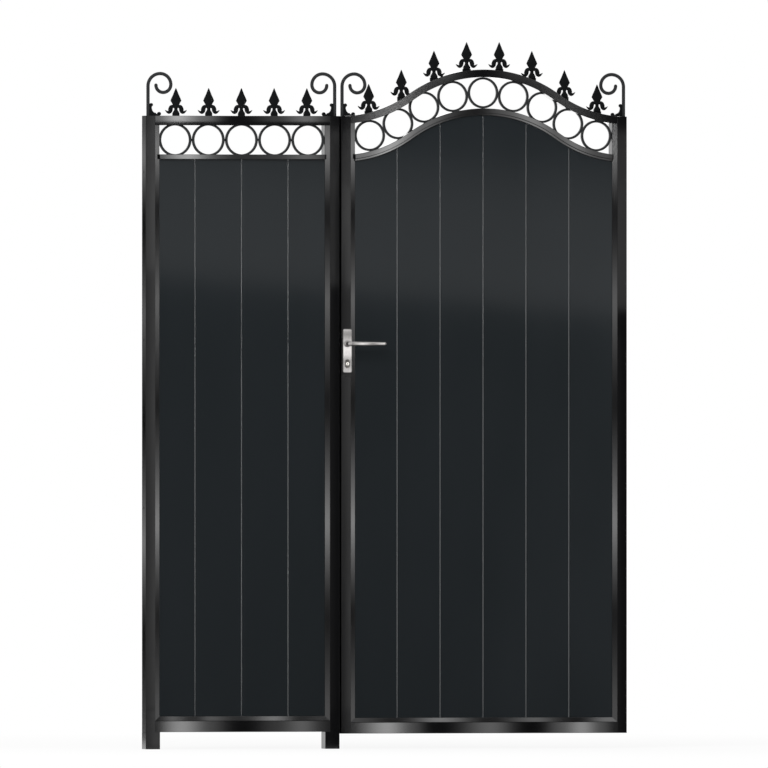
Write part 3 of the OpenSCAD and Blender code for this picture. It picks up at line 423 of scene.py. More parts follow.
def x_at_arc(length):
    """Distance from the middle after a length along the arch."""
    crown_arc = crown_r * arch_turn
    if length < crown_arc:
        return crown_r * math.sin(length / crown_r)
    return leaf_half - flank_r * math.sin(arch_turn - (length - crown_arc) / flank_r)


def arc_to(x):
    """Length along the arch from its middle."""
    if x < crown_reach:
        return crown_r * math.asin(x / crown_r)
    return crown_r * arch_turn + flank_r * (arch_turn - math.asin((leaf_half - x) / flank_r))


print("flank radius:", round(flank_r, 4), "half length:", round(arc_to(leaf_half), 4))

# %% [markdown]
# A bent rail is a path and a section, which is what Geometry Nodes' Curve to Mesh makes. The path
# comes in as a chain of edges, the section as a closed outline of depth and height, and a fillet
# rounds the outline's corners. The curve's normal is fixed to the depth of the gate, so that the
# section never rolls on its way round. A number called swell on each point scales the section, which
# rounds off the end of a bar. The same tree makes rails and crooks.

# %% A tree that sweeps a section along a path
def new_tree(name, **sockets):
    """An empty Geometry Nodes tree with named inputs; returns it with its input node."""
    tree = bpy.data.node_groups.new(name, "GeometryNodeTree")
    tree.interface.new_socket("Geometry", in_out="OUTPUT", socket_type="NodeSocketGeometry")
    tree.interface.new_socket("Geometry", in_out="INPUT", socket_type="NodeSocketGeometry")
    for label, kind in sockets.items():
        tree.interface.new_socket(label, in_out="INPUT", socket_type="NodeSocket" + kind)
    return tree, add(tree, "NodeGroupInput").outputs


def close_tree(tree, geometry, material):
    """Ends a tree: real geometry, its finish, and the output."""
    real = add(tree, "GeometryNodeRealizeInstances", {"Geometry": geometry})
    done = add(tree, "GeometryNodeSetMaterial", {"Geometry": real.outputs["Geometry"], "Material": material})
    add(tree, "NodeGroupOutput", {"Geometry": done.outputs["Geometry"]})
    return tree


def sweep_tree():
    """Sweeps an outline along chains of edges, with its corners rounded and its size set by swell."""
    tree, given = new_tree("section_along_path", Section="Object", Fillet="Float", Material="Material")
    path = add(tree, "GeometryNodeMeshToCurve", {"Mesh": given["Geometry"]})
    upright = add(tree, "GeometryNodeSetCurveNormal", {"Curve": path.outputs["Curve"],
                                                       "Normal": (0, 1, 0)}, mode="FREE")
    outline = add(tree, "GeometryNodeObjectInfo", {"Object": given["Section"]})
    loop = add(tree, "GeometryNodeMeshToCurve", {"Mesh": outline.outputs["Geometry"]})
    soft = add(tree, "GeometryNodeFilletCurve", {"Curve": loop.outputs["Curve"], "Radius": given["Fillet"],
                                                 "Count": 3, "Limit Radius": True}, mode="POLY")
    swell = add(tree, "GeometryNodeInputNamedAttribute", {"Name": "swell"}, data_type="FLOAT")
    bar = add(tree, "GeometryNodeCurveToMesh", {
        "Curve": upright.outputs["Curve"], "Profile Curve": soft.outputs["Curve"],
        "Scale": swell.outputs["Attribute"], "Fill Caps": True})
    return close_tree(tree, bar.outputs["Mesh"], given["Material"])


def chain(name, paths, swells=None, closed=False):
    """An object of bare edges through lists of points, with a swell on each point."""
    verts, edges, swell = [], [], []
    for k, path in enumerate(paths):
        start = len(verts)
        verts += [tuple(p) for p in path]
        edges += [(start + i, start + i + 1) for i in range(len(path) - 1)]
        if closed:
            edges.append((start + len(path) - 1, start))
        swell += swells[k] if swells else [1.0] * len(path)
    mesh = bpy.data.meshes.new(name)
    mesh.from_pydata(verts, edges, [])
    mesh.attributes.new("swell", "FLOAT", "POINT").data.foreach_set("value", swell)
    return new_piece(name, mesh)


def grown(host, tree, **inputs):
    """Runs a tree on an object, with its inputs set by their identifiers, and keeps the mesh."""
    modifier = host.modifiers.new(tree.name, "NODES")
    modifier.node_group = tree
    for item in tree.interface.items_tree:
        if item.item_type == "SOCKET" and item.in_out == "INPUT" and item.name in inputs:
            modifier[item.identifier] = inputs[item.name]
    baked(host)
    bm = bmesh.new()
    bm.from_mesh(host.data)
    bmesh.ops.remove_doubles(bm, verts=bm.verts, dist=MERGE / 2)
    bmesh.ops.recalc_face_normals(bm, faces=bm.faces)
    bm.to_mesh(host.data)
    bm.free()
    return host


def swept(name, paths, outline, fillet, swells=None):
    """A bar of one section along paths."""
    section = chain(name + "_section", [[(x, y, 0) for x, y in outline]], closed=True)
    piece = grown(chain(name, paths, swells), sweep, Section=section, Fillet=fillet,
                  Material=finish["black_powder_coat"])
    bpy.data.objects.remove(section)
    return piece


sweep = sweep_tree()
print("tree:", sweep.name, "nodes:", len(sweep.nodes))

# %% [markdown]
# The two arched rails follow that path, one along the top and one under the rings. Their sections
# are drawn as place from front to rear and height from the top edge. A bent rail is cut square to
# its curve, and the stiles need it cut upright, so the path runs on into the stiles and the waste is
# cut away with two planes. The lower rail has a lip for the boards, and its front stops where the
# stiles' own lips begin, so its front corners are taken off with a boolean.

# %% Arched rails
def cut_upright(piece, x_low, x_high):
    """Cuts a piece off upright at both ends and closes the cuts."""
    bm = bmesh.new()
    bm.from_mesh(piece.data)
    for x, away in ((x_low, -1), (x_high, 1)):
        parts = bm.verts[:] + bm.edges[:] + bm.faces[:]
        bmesh.ops.bisect_plane(bm, geom=parts, plane_co=(x, 0, 0), plane_no=(away, 0, 0),
                               clear_outer=True, dist=MERGE)
        rim = [edge for edge in bm.edges if edge.is_boundary]
        bmesh.ops.edgeloop_fill(bm, edges=rim)
    bm.to_mesh(piece.data)
    bm.free()
    return piece


def box_mesh(name, low, high):
    """A plain closed box between two corners, for cutting with."""
    bm = bmesh.new()
    bmesh.ops.create_cube(bm, size=1.0)
    for vert in bm.verts:
        vert.co = [high[i] if vert.co[i] > 0 else low[i] for i in range(3)]
    return from_bmesh(name, bm)


def carve(piece, low, high):
    """Cuts a box out of a piece."""
    tool = box_mesh("cutter", low, high)
    cut = piece.modifiers.new("cut", "BOOLEAN")
    cut.operation, cut.object, cut.solver = "DIFFERENCE", tool, "EXACT"
    baked(piece)
    bpy.data.objects.remove(tool)
    return piece


def arch_path(drop, count=140):
    """Points along the arch, lowered by a drop."""
    xs = [leaf_half * (2 * i / count - 1) for i in range(count + 1)]
    return [(leaf_mid + x, 0, arch_z(x) - drop) for x in xs]


top_rail_h = 24 * MM
rail_fillet = 1.2 * MM
ring_box_h, ring_lip_h = 15 * MM, 7 * MM
lip_y = front_y + 4 * MM
ring_rail_drop = arch_rise + shoulder_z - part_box("leaf_ring_rail")[1].z

top_section = [(front_y, 0), (rear_y, 0), (rear_y, -top_rail_h), (front_y, -top_rail_h)]
ring_section = [(front_y, 0), (rear_y, 0), (rear_y, -ring_box_h), (board_y, -ring_box_h),
                (board_y, -ring_box_h - ring_lip_h), (lip_y, -ring_box_h - ring_lip_h),
                (lip_y, -ring_box_h), (front_y, -ring_box_h)]

arch_top = swept("leaf_top_rail_bent", [arch_path(0)], top_section, rail_fillet)
cut_upright(arch_top, leaf_x0 + flat_w, leaf_x1 - flat_w)
dress(shaded(arch_top, sharp=35), "leaf_top_rail")

arch_low = swept("leaf_ring_rail_bent", [arch_path(ring_rail_drop)], ring_section, rail_fillet)
cut_upright(arch_low, leaf_x0 + flat_w, leaf_x1 - flat_w)
for x_low, x_high in ((leaf_x0, leaf_x0 + post_w), (leaf_x1 - post_w, leaf_x1)):
    carve(arch_low, (x_low, front_y - MM, 0), (x_high, board_y, shoulder_z + arch_rise))
dress(shaded(arch_low, sharp=35), "leaf_ring_rail")
print("ring rail lies", round(ring_rail_drop / MM, 1), "mm under the top edge")

# %% [markdown]
# ## Rings
#
# A ring is flat bar bent round and welded shut. It repeats fourteen times, so Geometry Nodes makes
# one ring from a circle and a rounded rectangle and puts it on every point that it is given. In the
# panel the points are a straight row. In the leaf they are spaced evenly along the arch, which is
# not the same as evenly across it.

# %% Rings on points
def ring_tree():
    """Puts an upright ring of rounded flat bar on each point."""
    tree, given = new_tree("rings_on_points", Diameter="Float", Bar="Float", Depth="Float", Fillet="Float",
                           Material="Material")
    radius = add(tree, "ShaderNodeMath", {0: given["Diameter"], 1: given["Bar"]}, operation="SUBTRACT")
    half = add(tree, "ShaderNodeMath", {0: radius.outputs[0], 1: 0.5}, operation="MULTIPLY")
    circle = add(tree, "GeometryNodeCurvePrimitiveCircle", {"Resolution": 96, "Radius": half.outputs[0]})
    stood = add(tree, "GeometryNodeTransform", {"Geometry": circle.outputs["Curve"],
                                                "Rotation": (math.pi / 2, 0, 0)})
    upright = add(tree, "GeometryNodeSetCurveNormal", {"Curve": stood.outputs["Geometry"],
                                                       "Normal": (0, 1, 0)}, mode="FREE")
    bar = add(tree, "GeometryNodeCurvePrimitiveQuadrilateral", {"Width": given["Depth"],
                                                                "Height": given["Bar"]})
    soft = add(tree, "GeometryNodeFilletCurve", {"Curve": bar.outputs["Curve"], "Radius": given["Fillet"],
                                                 "Count": 3, "Limit Radius": True}, mode="POLY")
    ring = add(tree, "GeometryNodeCurveToMesh", {"Curve": upright.outputs["Curve"],
                                                 "Profile Curve": soft.outputs["Curve"]})
    placed = add(tree, "GeometryNodeInstanceOnPoints", {"Points": given["Geometry"],
                                                        "Instance": ring.outputs["Mesh"]})
    return close_tree(tree, placed.outputs["Instances"], given["Material"])


def rings(name, node, centres, diameter):
    """A row of rings at given centres."""
    low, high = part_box(node)
    host = grown(chain(name, [[c] for c in centres]), ring_rows, Diameter=diameter, Bar=ring_bar,
                 Depth=high.y - low.y, Fillet=ring_fillet, Material=bar_finish)
    return dress(shaded(host, sharp=35), node, material=bar_finish)


ring_bar, ring_fillet = 7 * MM, 0.5 * MM
ring_rows = ring_tree()
side_ring_low, side_ring_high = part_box("side_rings")
side_ring_d = side_ring_high.z - side_ring_low.z
side_ring_n = 5
side_ring_step = (side_ring_high.x - side_ring_low.x - side_ring_d) / (side_ring_n - 1)
side_centres = [(side_ring_low.x + side_ring_d / 2 + i * side_ring_step, ornament_y,
                 (side_ring_low.z + side_ring_high.z) / 2) for i in range(side_ring_n)]
rings("side_rings_bent", "side_rings", side_centres, side_ring_d)

leaf_ring_d, leaf_ring_half_n = 98.4 * MM, 4
last_ring_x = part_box("leaf_rings")[1].x - leaf_mid - leaf_ring_d / 2
leaf_ring_step = arc_to(last_ring_x) / leaf_ring_half_n
leaf_ring_xs = [math.copysign(x_at_arc(abs(i) * leaf_ring_step), i)
                for i in range(-leaf_ring_half_n, leaf_ring_half_n + 1)]
ring_fit = 0.2 * MM
leaf_centres = [(leaf_mid + x, ornament_y, arch_z(x) - top_rail_h - ring_fit - leaf_ring_d / 2)
                for x in leaf_ring_xs]
rings("leaf_rings_bent", "leaf_rings", leaf_centres, leaf_ring_d)
print("rings:", len(side_centres) + len(leaf_centres))

# %% [markdown]
# ## Crooks
#
# Each crook is a round bar that stands on the rail and curls over in four quarter turns of falling
# radius, each starting where the last one points. It is a path again, with a round section, and the
# swell on the last few points follows a half circle, so that the bar ends in a rounded tip.

# %% Crooks
crook_bar_d = 10.8 * MM
crook_stem = 94 * MM
crook_radii = [39.1 * MM, 34.5 * MM, 25 * MM, 23 * MM]


def crook_path(x0, side):
    """Points of a crook on x0, curling to the side +1 or -1, with the swell of each."""
    points = [Vector((0, 0, crook_stem * i / 8)) for i in range(9)]
    steps_per_quarter = 16
    step = math.pi / 2 / steps_per_quarter
    heading = math.pi / 2
    for radius in crook_radii:
        chord = 2 * radius * math.sin(step / 2)
        for _ in range(steps_per_quarter):
            heading -= step / 2
            points.append(points[-1] + chord * Vector((math.cos(heading), 0, math.sin(heading))))
            heading -= step / 2
    swells = [1.0] * len(points)
    end = points[-1]
    ahead = Vector((math.cos(heading), 0, math.sin(heading)))
    for angle in (20, 40, 60, 75, 86):
        points.append(end + ahead * (crook_bar_d / 2) * math.sin(math.radians(angle)))
        swells.append(math.cos(math.radians(angle)))
    placed = [(x0 + side * p.x, ornament_y, shoulder_z + p.z) for p in points]
    return placed, swells


def circle_outline(radius, count=20):
    """Points of a circle about the origin."""
    return [(radius * math.cos(2 * math.pi * i / count), radius * math.sin(2 * math.pi * i / count))
            for i in range(count)]


def crooks(name, node):
    """The pair of crooks at the two ends of a rail."""
    low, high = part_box(node)
    pair = [crook_path(low.x + crook_bar_d / 2, 1), crook_path(high.x - crook_bar_d / 2, -1)]
    piece = swept(name, [p for p, _ in pair], circle_outline(crook_bar_d / 2), 0.0, [s for _, s in pair])
    return dress(shaded(piece, sharp=50), node, material=bar_finish)


crooks("side_crooks_bent", "side_crooks")
crooks("leaf_crooks_bent", "leaf_crooks")

# %% [markdown]
# ## Spear finials
#
# A finial is one small casting: a square foot, a waist, a leaf-shaped blade with a ridge down its
# middle, and a drooping leaf on each side whose tip turns up again. It could be cut from a flat
# outline, as a laser would, but a casting is fuller than that. So the spear is lofted through ten
# sided sections that thin towards their edges, and the side leaves are lofted along a smooth path.
# Both are drawn in millimetres from the foot's middle.

# %% Lofting
def loft(bm, loops):
    """Skins a list of closed loops of points, all of one length, and closes both ends."""
    rows = [[bm.verts.new(p) for p in loop] for loop in loops]
    count = len(rows[0])
    for a, b in zip(rows, rows[1:]):
        for i in range(count):
            bm.faces.new((a[i], a[(i + 1) % count], b[(i + 1) % count], b[i]))
    bm.faces.new(rows[0])
    bm.faces.new(rows[-1])


def smooth_run(values, per_step=4):
    """Passes a smooth curve through tuples of numbers."""
    tuples = [Vector(v) for v in values]
    run = []
    for k in range(len(tuples) - 1):
        before, a, b = tuples[max(k - 1, 0)], tuples[k], tuples[k + 1]
        after = tuples[min(k + 2, len(tuples) - 1)]
        for i in range(per_step):
            t = i / per_step
            run.append(0.5 * (2 * a + (b - before) * t + (2 * before - 5 * a + 4 * b - after) * t * t
                              + (3 * a - before - 3 * b + after) * t ** 3))
    return run + [tuples[-1]]


print("a smooth run through 3 places has", len(smooth_run([(0, 0), (1, 1), (2, 0)])), "points")

# %% The finial
FOOT_T, RIDGE_T, EDGE_T = 4.5, 4.5, 1.3
# Height, half width, half thickness at the edge and at the ridge
spear_stations = [
    (0, 10.8, FOOT_T, FOOT_T), (8, 10.8, FOOT_T, FOOT_T), (9.4, 10.2, 3.9, 4.2), (12, 9.2, 2.8, 4.2),
    (15.5, 6.8, 1.8, 4.2), (19.5, 5.2, 1.4, 4.2), (24, 5.6, EDGE_T, 4.3), (29, 7.6, EDGE_T, RIDGE_T),
    (35, 10.2, EDGE_T, RIDGE_T), (41, 13.5, EDGE_T, RIDGE_T), (47.5, 17.5, EDGE_T, 4.4),
    (56, 14.2, EDGE_T, 4.2), (65.5, 9.6, EDGE_T, 3.9), (77, 5, 1.1, 3.0), (84, 2.2, 0.8, 1.7),
    (88, 0.3, 0.2, 0.3),
]
# Place across and up, half width and half thickness of a side leaf
leaf_stations = [
    (2, 28, 4, 3), (9, 29.5, 5.4, 3.6), (14.5, 27.2, 6.8, 4), (17.2, 21.5, 7.4, 4),
    (18.6, 15, 7, 4), (22.5, 11, 5.4, 3.6), (28.5, 12.6, 3.3, 2.6), (34.8, 17.8, 0.8, 1),
]


foot_half_w, foot_rise, foot_ease = 13 * MM, 2.5 * MM, 0.8 * MM
shoulder_share = 0.62
leaf_sides = 10


def spear_loop(z, w, edge, ridge):
    """A ten-sided section of the spear, thickest along its middle."""
    mid = edge + (ridge - edge) * shoulder_share
    right = [(w, -edge), (w, edge), (w / 2, mid), (0, ridge), (-w / 2, mid)]
    return [(x * MM, y * MM, z * MM) for x, y in right + [(-x, -y) for x, y in right]]


def side_leaf_loops(side):
    """Sections of a side leaf, square to its path."""
    run = smooth_run(leaf_stations)
    loops = []
    for k, (x, z, w, t) in enumerate(run):
        ahead = run[min(k + 1, len(run) - 1)] - run[max(k - 1, 0)]
        across = Vector((-ahead[1], ahead[0])).normalized()
        loop = []
        for i in range(leaf_sides):
            turn = 2 * math.pi * i / leaf_sides
            off = w * math.cos(turn)
            point = (side * (x + across.x * off), t * math.sin(turn), z + across.y * off)
            loop.append(tuple(c * MM for c in point))
        loops.append(loop)
    return loops


def finial_mesh(name, foot_depth=0.0):
    """One finial on the origin, with a foot that reaches down into a sloping rail where one is needed."""
    bm = bmesh.new()
    loft(bm, [spear_loop(*station) for station in spear_stations])
    for side in (-1, 1):
        loft(bm, side_leaf_loops(side))
    if foot_depth:
        foot = bmesh.ops.create_cube(bm, size=1.0)["verts"]
        for vert in foot:
            vert.co = (vert.co.x * 2 * foot_half_w, vert.co.y * 2 * FOOT_T * MM,
                       foot_rise if vert.co.z > 0 else -foot_depth)
        rims = {edge for vert in foot for edge in vert.link_edges}
        bmesh.ops.bevel(bm, geom=list(rims), offset=foot_ease, offset_type="OFFSET", segments=2,
                        profile=0.5, affect="EDGES")
    bmesh.ops.recalc_face_normals(bm, faces=bm.faces)
    return from_bmesh(name, bm)


finial_sample = finial_mesh("finial_sample")
print("finial faces:", len(finial_sample.data.polygons))

# %% [markdown]
# One tree puts any small piece on a set of points. The panel's finials stand in a straight row, and
# the leaf's follow the arch: they all stand upright, whatever the slope under them, so each has a
# foot that the rail's slope cuts off. Sinking a plain foot into the rail looks the same and is
# simpler than cutting it.

# %% Finials in rows
def row_tree():
    """Puts a sample piece on each point."""
    tree, given = new_tree("pieces_on_points", Sample="Object", Material="Material")
    sample = add(tree, "GeometryNodeObjectInfo", {"Object": given["Sample"]})
    row = add(tree, "GeometryNodeInstanceOnPoints", {"Points": given["Geometry"],
                                                     "Instance": sample.outputs["Geometry"]})
    return close_tree(tree, row.outputs["Instances"], given["Material"])


def row(name, sample, places, node):
    """Copies of a sample at given places, as one piece that stands for a CAD node."""
    points = chain(name, [[place] for place in places])
    host = grown(points, rows, Sample=sample, Material=finish["black_cast"])
    bpy.data.objects.remove(sample)
    return dress(shaded(host), node)


def spread(low, high, count):
    """Evenly spaced numbers from low to high."""
    return [low + (high - low) * i / (count - 1) for i in range(count)]


rows = row_tree()
side_finial_n, side_finial_in = 5, 101.3 * MM
side_finial_xs = spread(panel_x0 + side_finial_in, panel_x1 - side_finial_in, side_finial_n)
row("side_finials_cast", finial_sample, [(x, ornament_y, shoulder_z) for x in side_finial_xs], "side_finials")

leaf_finial_n, leaf_finial_in, leaf_foot_depth = 8, 92.4 * MM, 14 * MM
leaf_finial_xs = spread(leaf_x0 + leaf_finial_in, leaf_x1 - leaf_finial_in, leaf_finial_n)
leaf_finial_places = [(x, ornament_y, arch_z(x - leaf_mid) + foot_rise) for x in leaf_finial_xs]
row("leaf_finials_cast", finial_mesh("footed_sample", leaf_foot_depth), leaf_finial_places, "leaf_finials")
print("finials:", len(side_finial_xs) + len(leaf_finial_xs))

# %% [markdown]
# ## Brackets and collars
#
# The little scrolled brackets are flat castings, so the node's outline is right and only its rims
# need rounding. The collars between the panel's rings are turned beads: a short barrel, fuller in
# its middle.

# %% Brackets and collars
def casting(name, radius):
    """A flat casting with all its rims rounded."""
    bm = clean_copy(name)
    round_edges(bm, radius, lambda edge: edge.calc_face_angle() > math.radians(40), steps=2)
    return dress(shaded(from_bmesh(name + "_cast", bm), sharp=50), name)


for name in ("side_brackets", "leaf_brackets"):
    casting(name, 1.1 * MM)


def collar_mesh(name, reach, radius):
    """A barrel-shaped bead along X."""
    bm = bmesh.new()
    rim = circle_outline(radius, 24)
    # Place along the bead and share of its radius
    stations = [(-1.0, 0.72), (-0.6, 0.94), (-0.2, 1.0), (0.2, 1.0), (0.6, 0.94), (1.0, 0.72)]
    loft(bm, [[(u * reach, y * k, z * k) for y, z in rim] for u, k in stations])
    bmesh.ops.recalc_face_normals(bm, faces=bm.faces)
    return from_bmesh(name, bm)


collar_overlap, bead_r = 1.2 * MM, 3.5 * MM
collar_reach = (side_ring_step - side_ring_d) / 2 + collar_overlap
collar_places = [((a[0] + b[0]) / 2, ornament_y, a[2]) for a, b in zip(side_centres, side_centres[1:])]
row("side_ring_beads", collar_mesh("collar_sample", collar_reach, bead_r), collar_places,
    "side_ring_collars")
print("brackets: 4, collars:", len(collar_places))

# %% [markdown]
# ## The handle
#
# The lever is forged in one piece: a round neck leaves the plate, bends through a right angle and
# flattens into a grip that thins towards its tip. A loft does that well. Its path is a straight, a
# quarter turn and a straight, and each section is a rounded oblong whose height, thickness and
# squareness change along the way.

# %% Lever
lever_low, lever_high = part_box("front_lever")
plate_low, plate_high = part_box("front_plate")
lever_x, plate_face = (plate_low.x + plate_high.x) / 2, plate_low.y
lever_z = (lever_low.z + lever_high.z) / 2
neck_d, collar_d, neck_sunk = 15 * MM, 21 * MM, 2 * MM
grip_t, grip_h, grip_tip_h = 11 * MM, 14.5 * MM, 11 * MM
neck_thinned, grip_thinned = 0.94, 0.9
bend_r, tip_r = 9 * MM, 5.5 * MM
grip_y = lever_low.y + grip_t / 2
tip_x = lever_high.x


def oblong(height, thick, squareness, count=28):
    """A rounded oblong: 2 gives an ellipse, and more gives squarer corners."""
    points = []
    for i in range(count):
        turn = 2 * math.pi * i / count
        c, s = math.cos(turn), math.sin(turn)
        points.append((math.copysign(abs(c) ** (2 / squareness), c) * thick / 2,
                       math.copysign(abs(s) ** (2 / squareness), s) * height / 2))
    return points


def lever_loops():
    """The lever's sections from inside the plate to the tip: place, direction and shape."""
    root_y = plate_face + neck_sunk
    straight_end = grip_y + bend_r
    centre_x = lever_x + bend_r
    loops = []

    def put(x, y, heading, height, thick, squareness):
        """Adds a section square to its heading."""
        side_x, side_y = math.sin(heading), -math.cos(heading)
        rim = oblong(height, thick, squareness)
        loops.append([(x + side_x * a, y + side_y * a, lever_z + b) for a, b in rim])

    def part_way(start, end, t):
        """The value at a share t of the way."""
        return start + (end - start) * t

    round_bar, neck_end_t, tip_t = 2.0, neck_d * neck_thinned, grip_t * grip_thinned
    soft_oblong, tip_oblong = 2.9, 2.6
    for t in (0, 0.5, 1):
        put(lever_x, part_way(root_y, straight_end, t), -math.pi / 2, neck_d, part_way(neck_d, neck_end_t, t),
            round_bar)
    for i in range(1, 9):
        t = i / 8
        turn = t * math.pi / 2
        put(centre_x - bend_r * math.cos(turn), straight_end - bend_r * math.sin(turn), turn - math.pi / 2,
            part_way(neck_d, grip_h, t), part_way(neck_end_t, grip_t, t), part_way(round_bar, soft_oblong, t))
    for i in range(1, 13):
        t = i / 12
        put(part_way(centre_x, tip_x - tip_r, t), grip_y, 0, part_way(grip_h, grip_tip_h, t),
            part_way(grip_t, tip_t, t), soft_oblong)
    for angle in (20, 38, 54, 68, 80):
        c, s = math.cos(math.radians(angle)), math.sin(math.radians(angle))
        put(tip_x - tip_r + tip_r * s, grip_y, 0, grip_tip_h * c, tip_t * c, tip_oblong)
    return loops


def turned(bm, x, z, profile, count=48):
    """Turns a profile of (place along Y, radius) round an axis through the depth."""
    loft(bm, [[(x + a, y, z + b) for a, b in circle_outline(r, count)] for y, r in profile])


def lever(name, node, mirrored):
    """A lever with the collar it turns in; the rear one is the front one mirrored in depth."""
    bm = bmesh.new()
    loft(bm, lever_loops())
    r = collar_d / 2
    collar_y = plate_face - 3 * MM
    turned(bm, lever_x, lever_z, [
        (front_y, r), (collar_y + 1.4 * MM, r), (collar_y + 0.4 * MM, r - 0.6 * MM),
        (collar_y, r - 1.6 * MM), (collar_y, neck_d / 2 - 0.6 * MM)])
    if mirrored:
        for vert in bm.verts:
            vert.co.y = -vert.co.y
    bmesh.ops.recalc_face_normals(bm, faces=bm.faces)
    return dress(shaded(from_bmesh(name, bm), sharp=42), node, material=lever_finish)


lever("front_lever_forged", "front_lever", False)
lever("rear_lever_forged", "rear_lever", True)
print("lever reach:", round((tip_x - lever_x) / MM, 1), "mm")

# %% [markdown]
# The handle plates are pressed, so their front rim is a generous quarter round, while the holes for
# the lever and the lock cylinder are drilled and stay crisp. Only the rim's edges are picked: they
# lie on the front face, and away from the two holes.

# %% Handle plates
def handle_plate(node, face_y):
    """A plate whose outer rim is rolled and whose holes stay crisp."""
    low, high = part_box(node)
    rim_in, rim_r = 3.5 * MM, 2.2 * MM

    def on_rim(edge):
        """Is this edge on the outer rim of the plate's face?"""
        ends = [v.co for v in edge.verts]
        at_face = all(abs(p.y - face_y) < TOUCH for p in ends)
        mid = (ends[0] + ends[1]) / 2
        near = min(mid.x - low.x, high.x - mid.x, mid.z - low.z, high.z - mid.z) < rim_in
        return at_face and near and edge.calc_face_angle() > math.radians(60)

    bm = clean_copy(node)
    round_edges(bm, rim_r, on_rim, steps=5)
    return dress(shaded(from_bmesh(node + "_pressed", bm), sharp=30), node)


handle_plate("front_plate", plate_face)
handle_plate("rear_plate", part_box("rear_plate")[1].y)
print("handle plates rolled")

# %% [markdown]
# ## Lock, hinges and fixings
#
# The rest is ironmongery whose shape in the frame is already right: the lock and its bolts, the keep
# and faceplate, hinge plates with their knuckles, and the screws. They get a small radius where a
# hand or an eye could reach them, and their finish. What lies inside keeps its own mesh.

# %% Ironmongery
iron_ease, iron_shortest, iron_angle = 0.35 * MM, 5 * MM, 40

for name in ("keep", "lock_faceplate", "cylinder_body", "upper_leaf_plate", "lower_leaf_plate",
             "upper_wall_plate", "lower_wall_plate", "latch_bolt", "side_rear_beads"):
    bm = clean_copy(name)
    round_edges(bm, iron_ease, lambda edge: is_long_corner(edge, iron_shortest, iron_angle), steps=2)
    dress(shaded(from_bmesh(name + "_eased", bm), sharp=35), name)

for name, node in nodes.items():
    node.data.materials.clear()
    node.data.materials.append(finish[slot_of[name]])
print("nodes with a finish of their own:", len(nodes))

# %% [markdown]
# ## The studio
#
# The gate is photographed on white, from a long way off and twelve degrees to the left. A very long
# lens keeps its uprights and its rails parallel, as a product picture wants. The camera looks level,
# at half the gate's height. The lens follows from the distance and from the width that the picture
# takes in.

# %% Camera
scene = bpy.context.scene
scene.view_settings.view_transform = "Standard"

view_turn = math.radians(-12)
distance = 90.0
frame_width = 2429 * MM
aim_height, aim_left = 1153 * MM, 6.2 * MM
forward = Vector((-math.sin(view_turn), math.cos(view_turn), 0))
right = Vector((math.cos(view_turn), math.sin(view_turn), 0))
aim = Vector((0, 0, aim_height)) - aim_left * right

camera = bpy.data.objects.new("camera", bpy.data.cameras.new("camera"))
scene.collection.objects.link(camera)
camera.location = aim - forward * distance
camera.rotation_euler = (math.pi / 2, 0, view_turn)
camera.data.sensor_width = 36
camera.data.lens = 36 * distance / frame_width
camera.data.clip_end = 2 * distance
scene.camera = camera
print("camera at", [round(c, 2) for c in camera.location])

# %% [markdown]
# White comes from the world and the floor, for the rays that the camera, mirrors and glass send out.
# Near the gate the floor is part real paint, so that it holds a shadow; a few metres off it is pure
# white, and no horizon shows.
#
# The light that falls on the gate itself is plain and soft: most of it from the dim side of the
# world, and the rest from one large lamp at the front left.

# %% World, floor and lamp
def seen_directly(tree):
    """1 for a camera, glossy or transmission ray, and 0 for the rest."""
    path = add(tree, "ShaderNodeLightPath").outputs
    seen = path["Is Camera Ray"]
    for ray in ("Is Glossy Ray", "Is Transmission Ray"):
        seen = add(tree, "ShaderNodeMath", {0: seen, 1: path[ray]}, operation="MAXIMUM").outputs[0]
    return seen


world_light, paper_grey = 0.62, 0.86
world = bpy.data.worlds.new("white_studio")
scene.world = world
tree = emptied(world)
level = add(tree, "ShaderNodeMapRange", {"Value": seen_directly(tree), "To Min": world_light, "To Max": 1.0})
glow = add(tree, "ShaderNodeBackground", {"Color": (1, 1, 1, 1), "Strength": level.outputs["Result"]})
add(tree, "ShaderNodeOutputWorld", {"Surface": glow.outputs["Background"]})

reach = 30.0
floor_corners = [(-reach, -reach, 0), (reach, -reach, 0), (reach, reach, 0), (-reach, reach, 0)]
floor_mesh = bpy.data.meshes.new("floor")
floor_mesh.from_pydata(floor_corners, [], [(0, 1, 2, 3)])
floor = new_piece("floor", floor_mesh)
paint = bpy.data.materials.new("white_studio_floor")
tree = emptied(paint)
matt = add(tree, "ShaderNodeBsdfDiffuse", {"Color": (paper_grey, paper_grey, paper_grey, 1)})
lit = add(tree, "ShaderNodeEmission", {"Color": (1, 1, 1, 1), "Strength": 1.0})
spot = add(tree, "ShaderNodeTexCoord").outputs["Object"]
away = add(tree, "ShaderNodeVectorMath", {0: spot}, operation="LENGTH")
shadow_reach, white_reach, near_white = 0.6, 4.0, 0.88
bright = add(tree, "ShaderNodeMapRange", {
    "Value": away.outputs["Value"], "From Min": shadow_reach, "From Max": white_reach,
    "To Min": near_white, "To Max": 1.0})
share = add(tree, "ShaderNodeMath", {0: seen_directly(tree), 1: bright.outputs["Result"]},
            operation="MULTIPLY")
blend = add(tree, "ShaderNodeMixShader", {0: share.outputs[0], 1: matt.outputs[0], 2: lit.outputs[0]})
add(tree, "ShaderNodeOutputMaterial", {"Surface": blend.outputs[0]})
floor.data.materials.append(paint)

lamp = bpy.data.objects.new("key_lamp", bpy.data.lights.new("key_lamp", "AREA"))
scene.collection.objects.link(lamp)
lamp.data.size = 3.0
lamp.data.energy = 260
lamp.location = (-2.6, -4.4, 4.4)
lamp.rotation_euler = (Vector((0, 0, 1.1)) - lamp.location).to_track_quat("-Z", "Y").to_euler()
lamp.visible_glossy = False
print("world, floor and lamp ready")

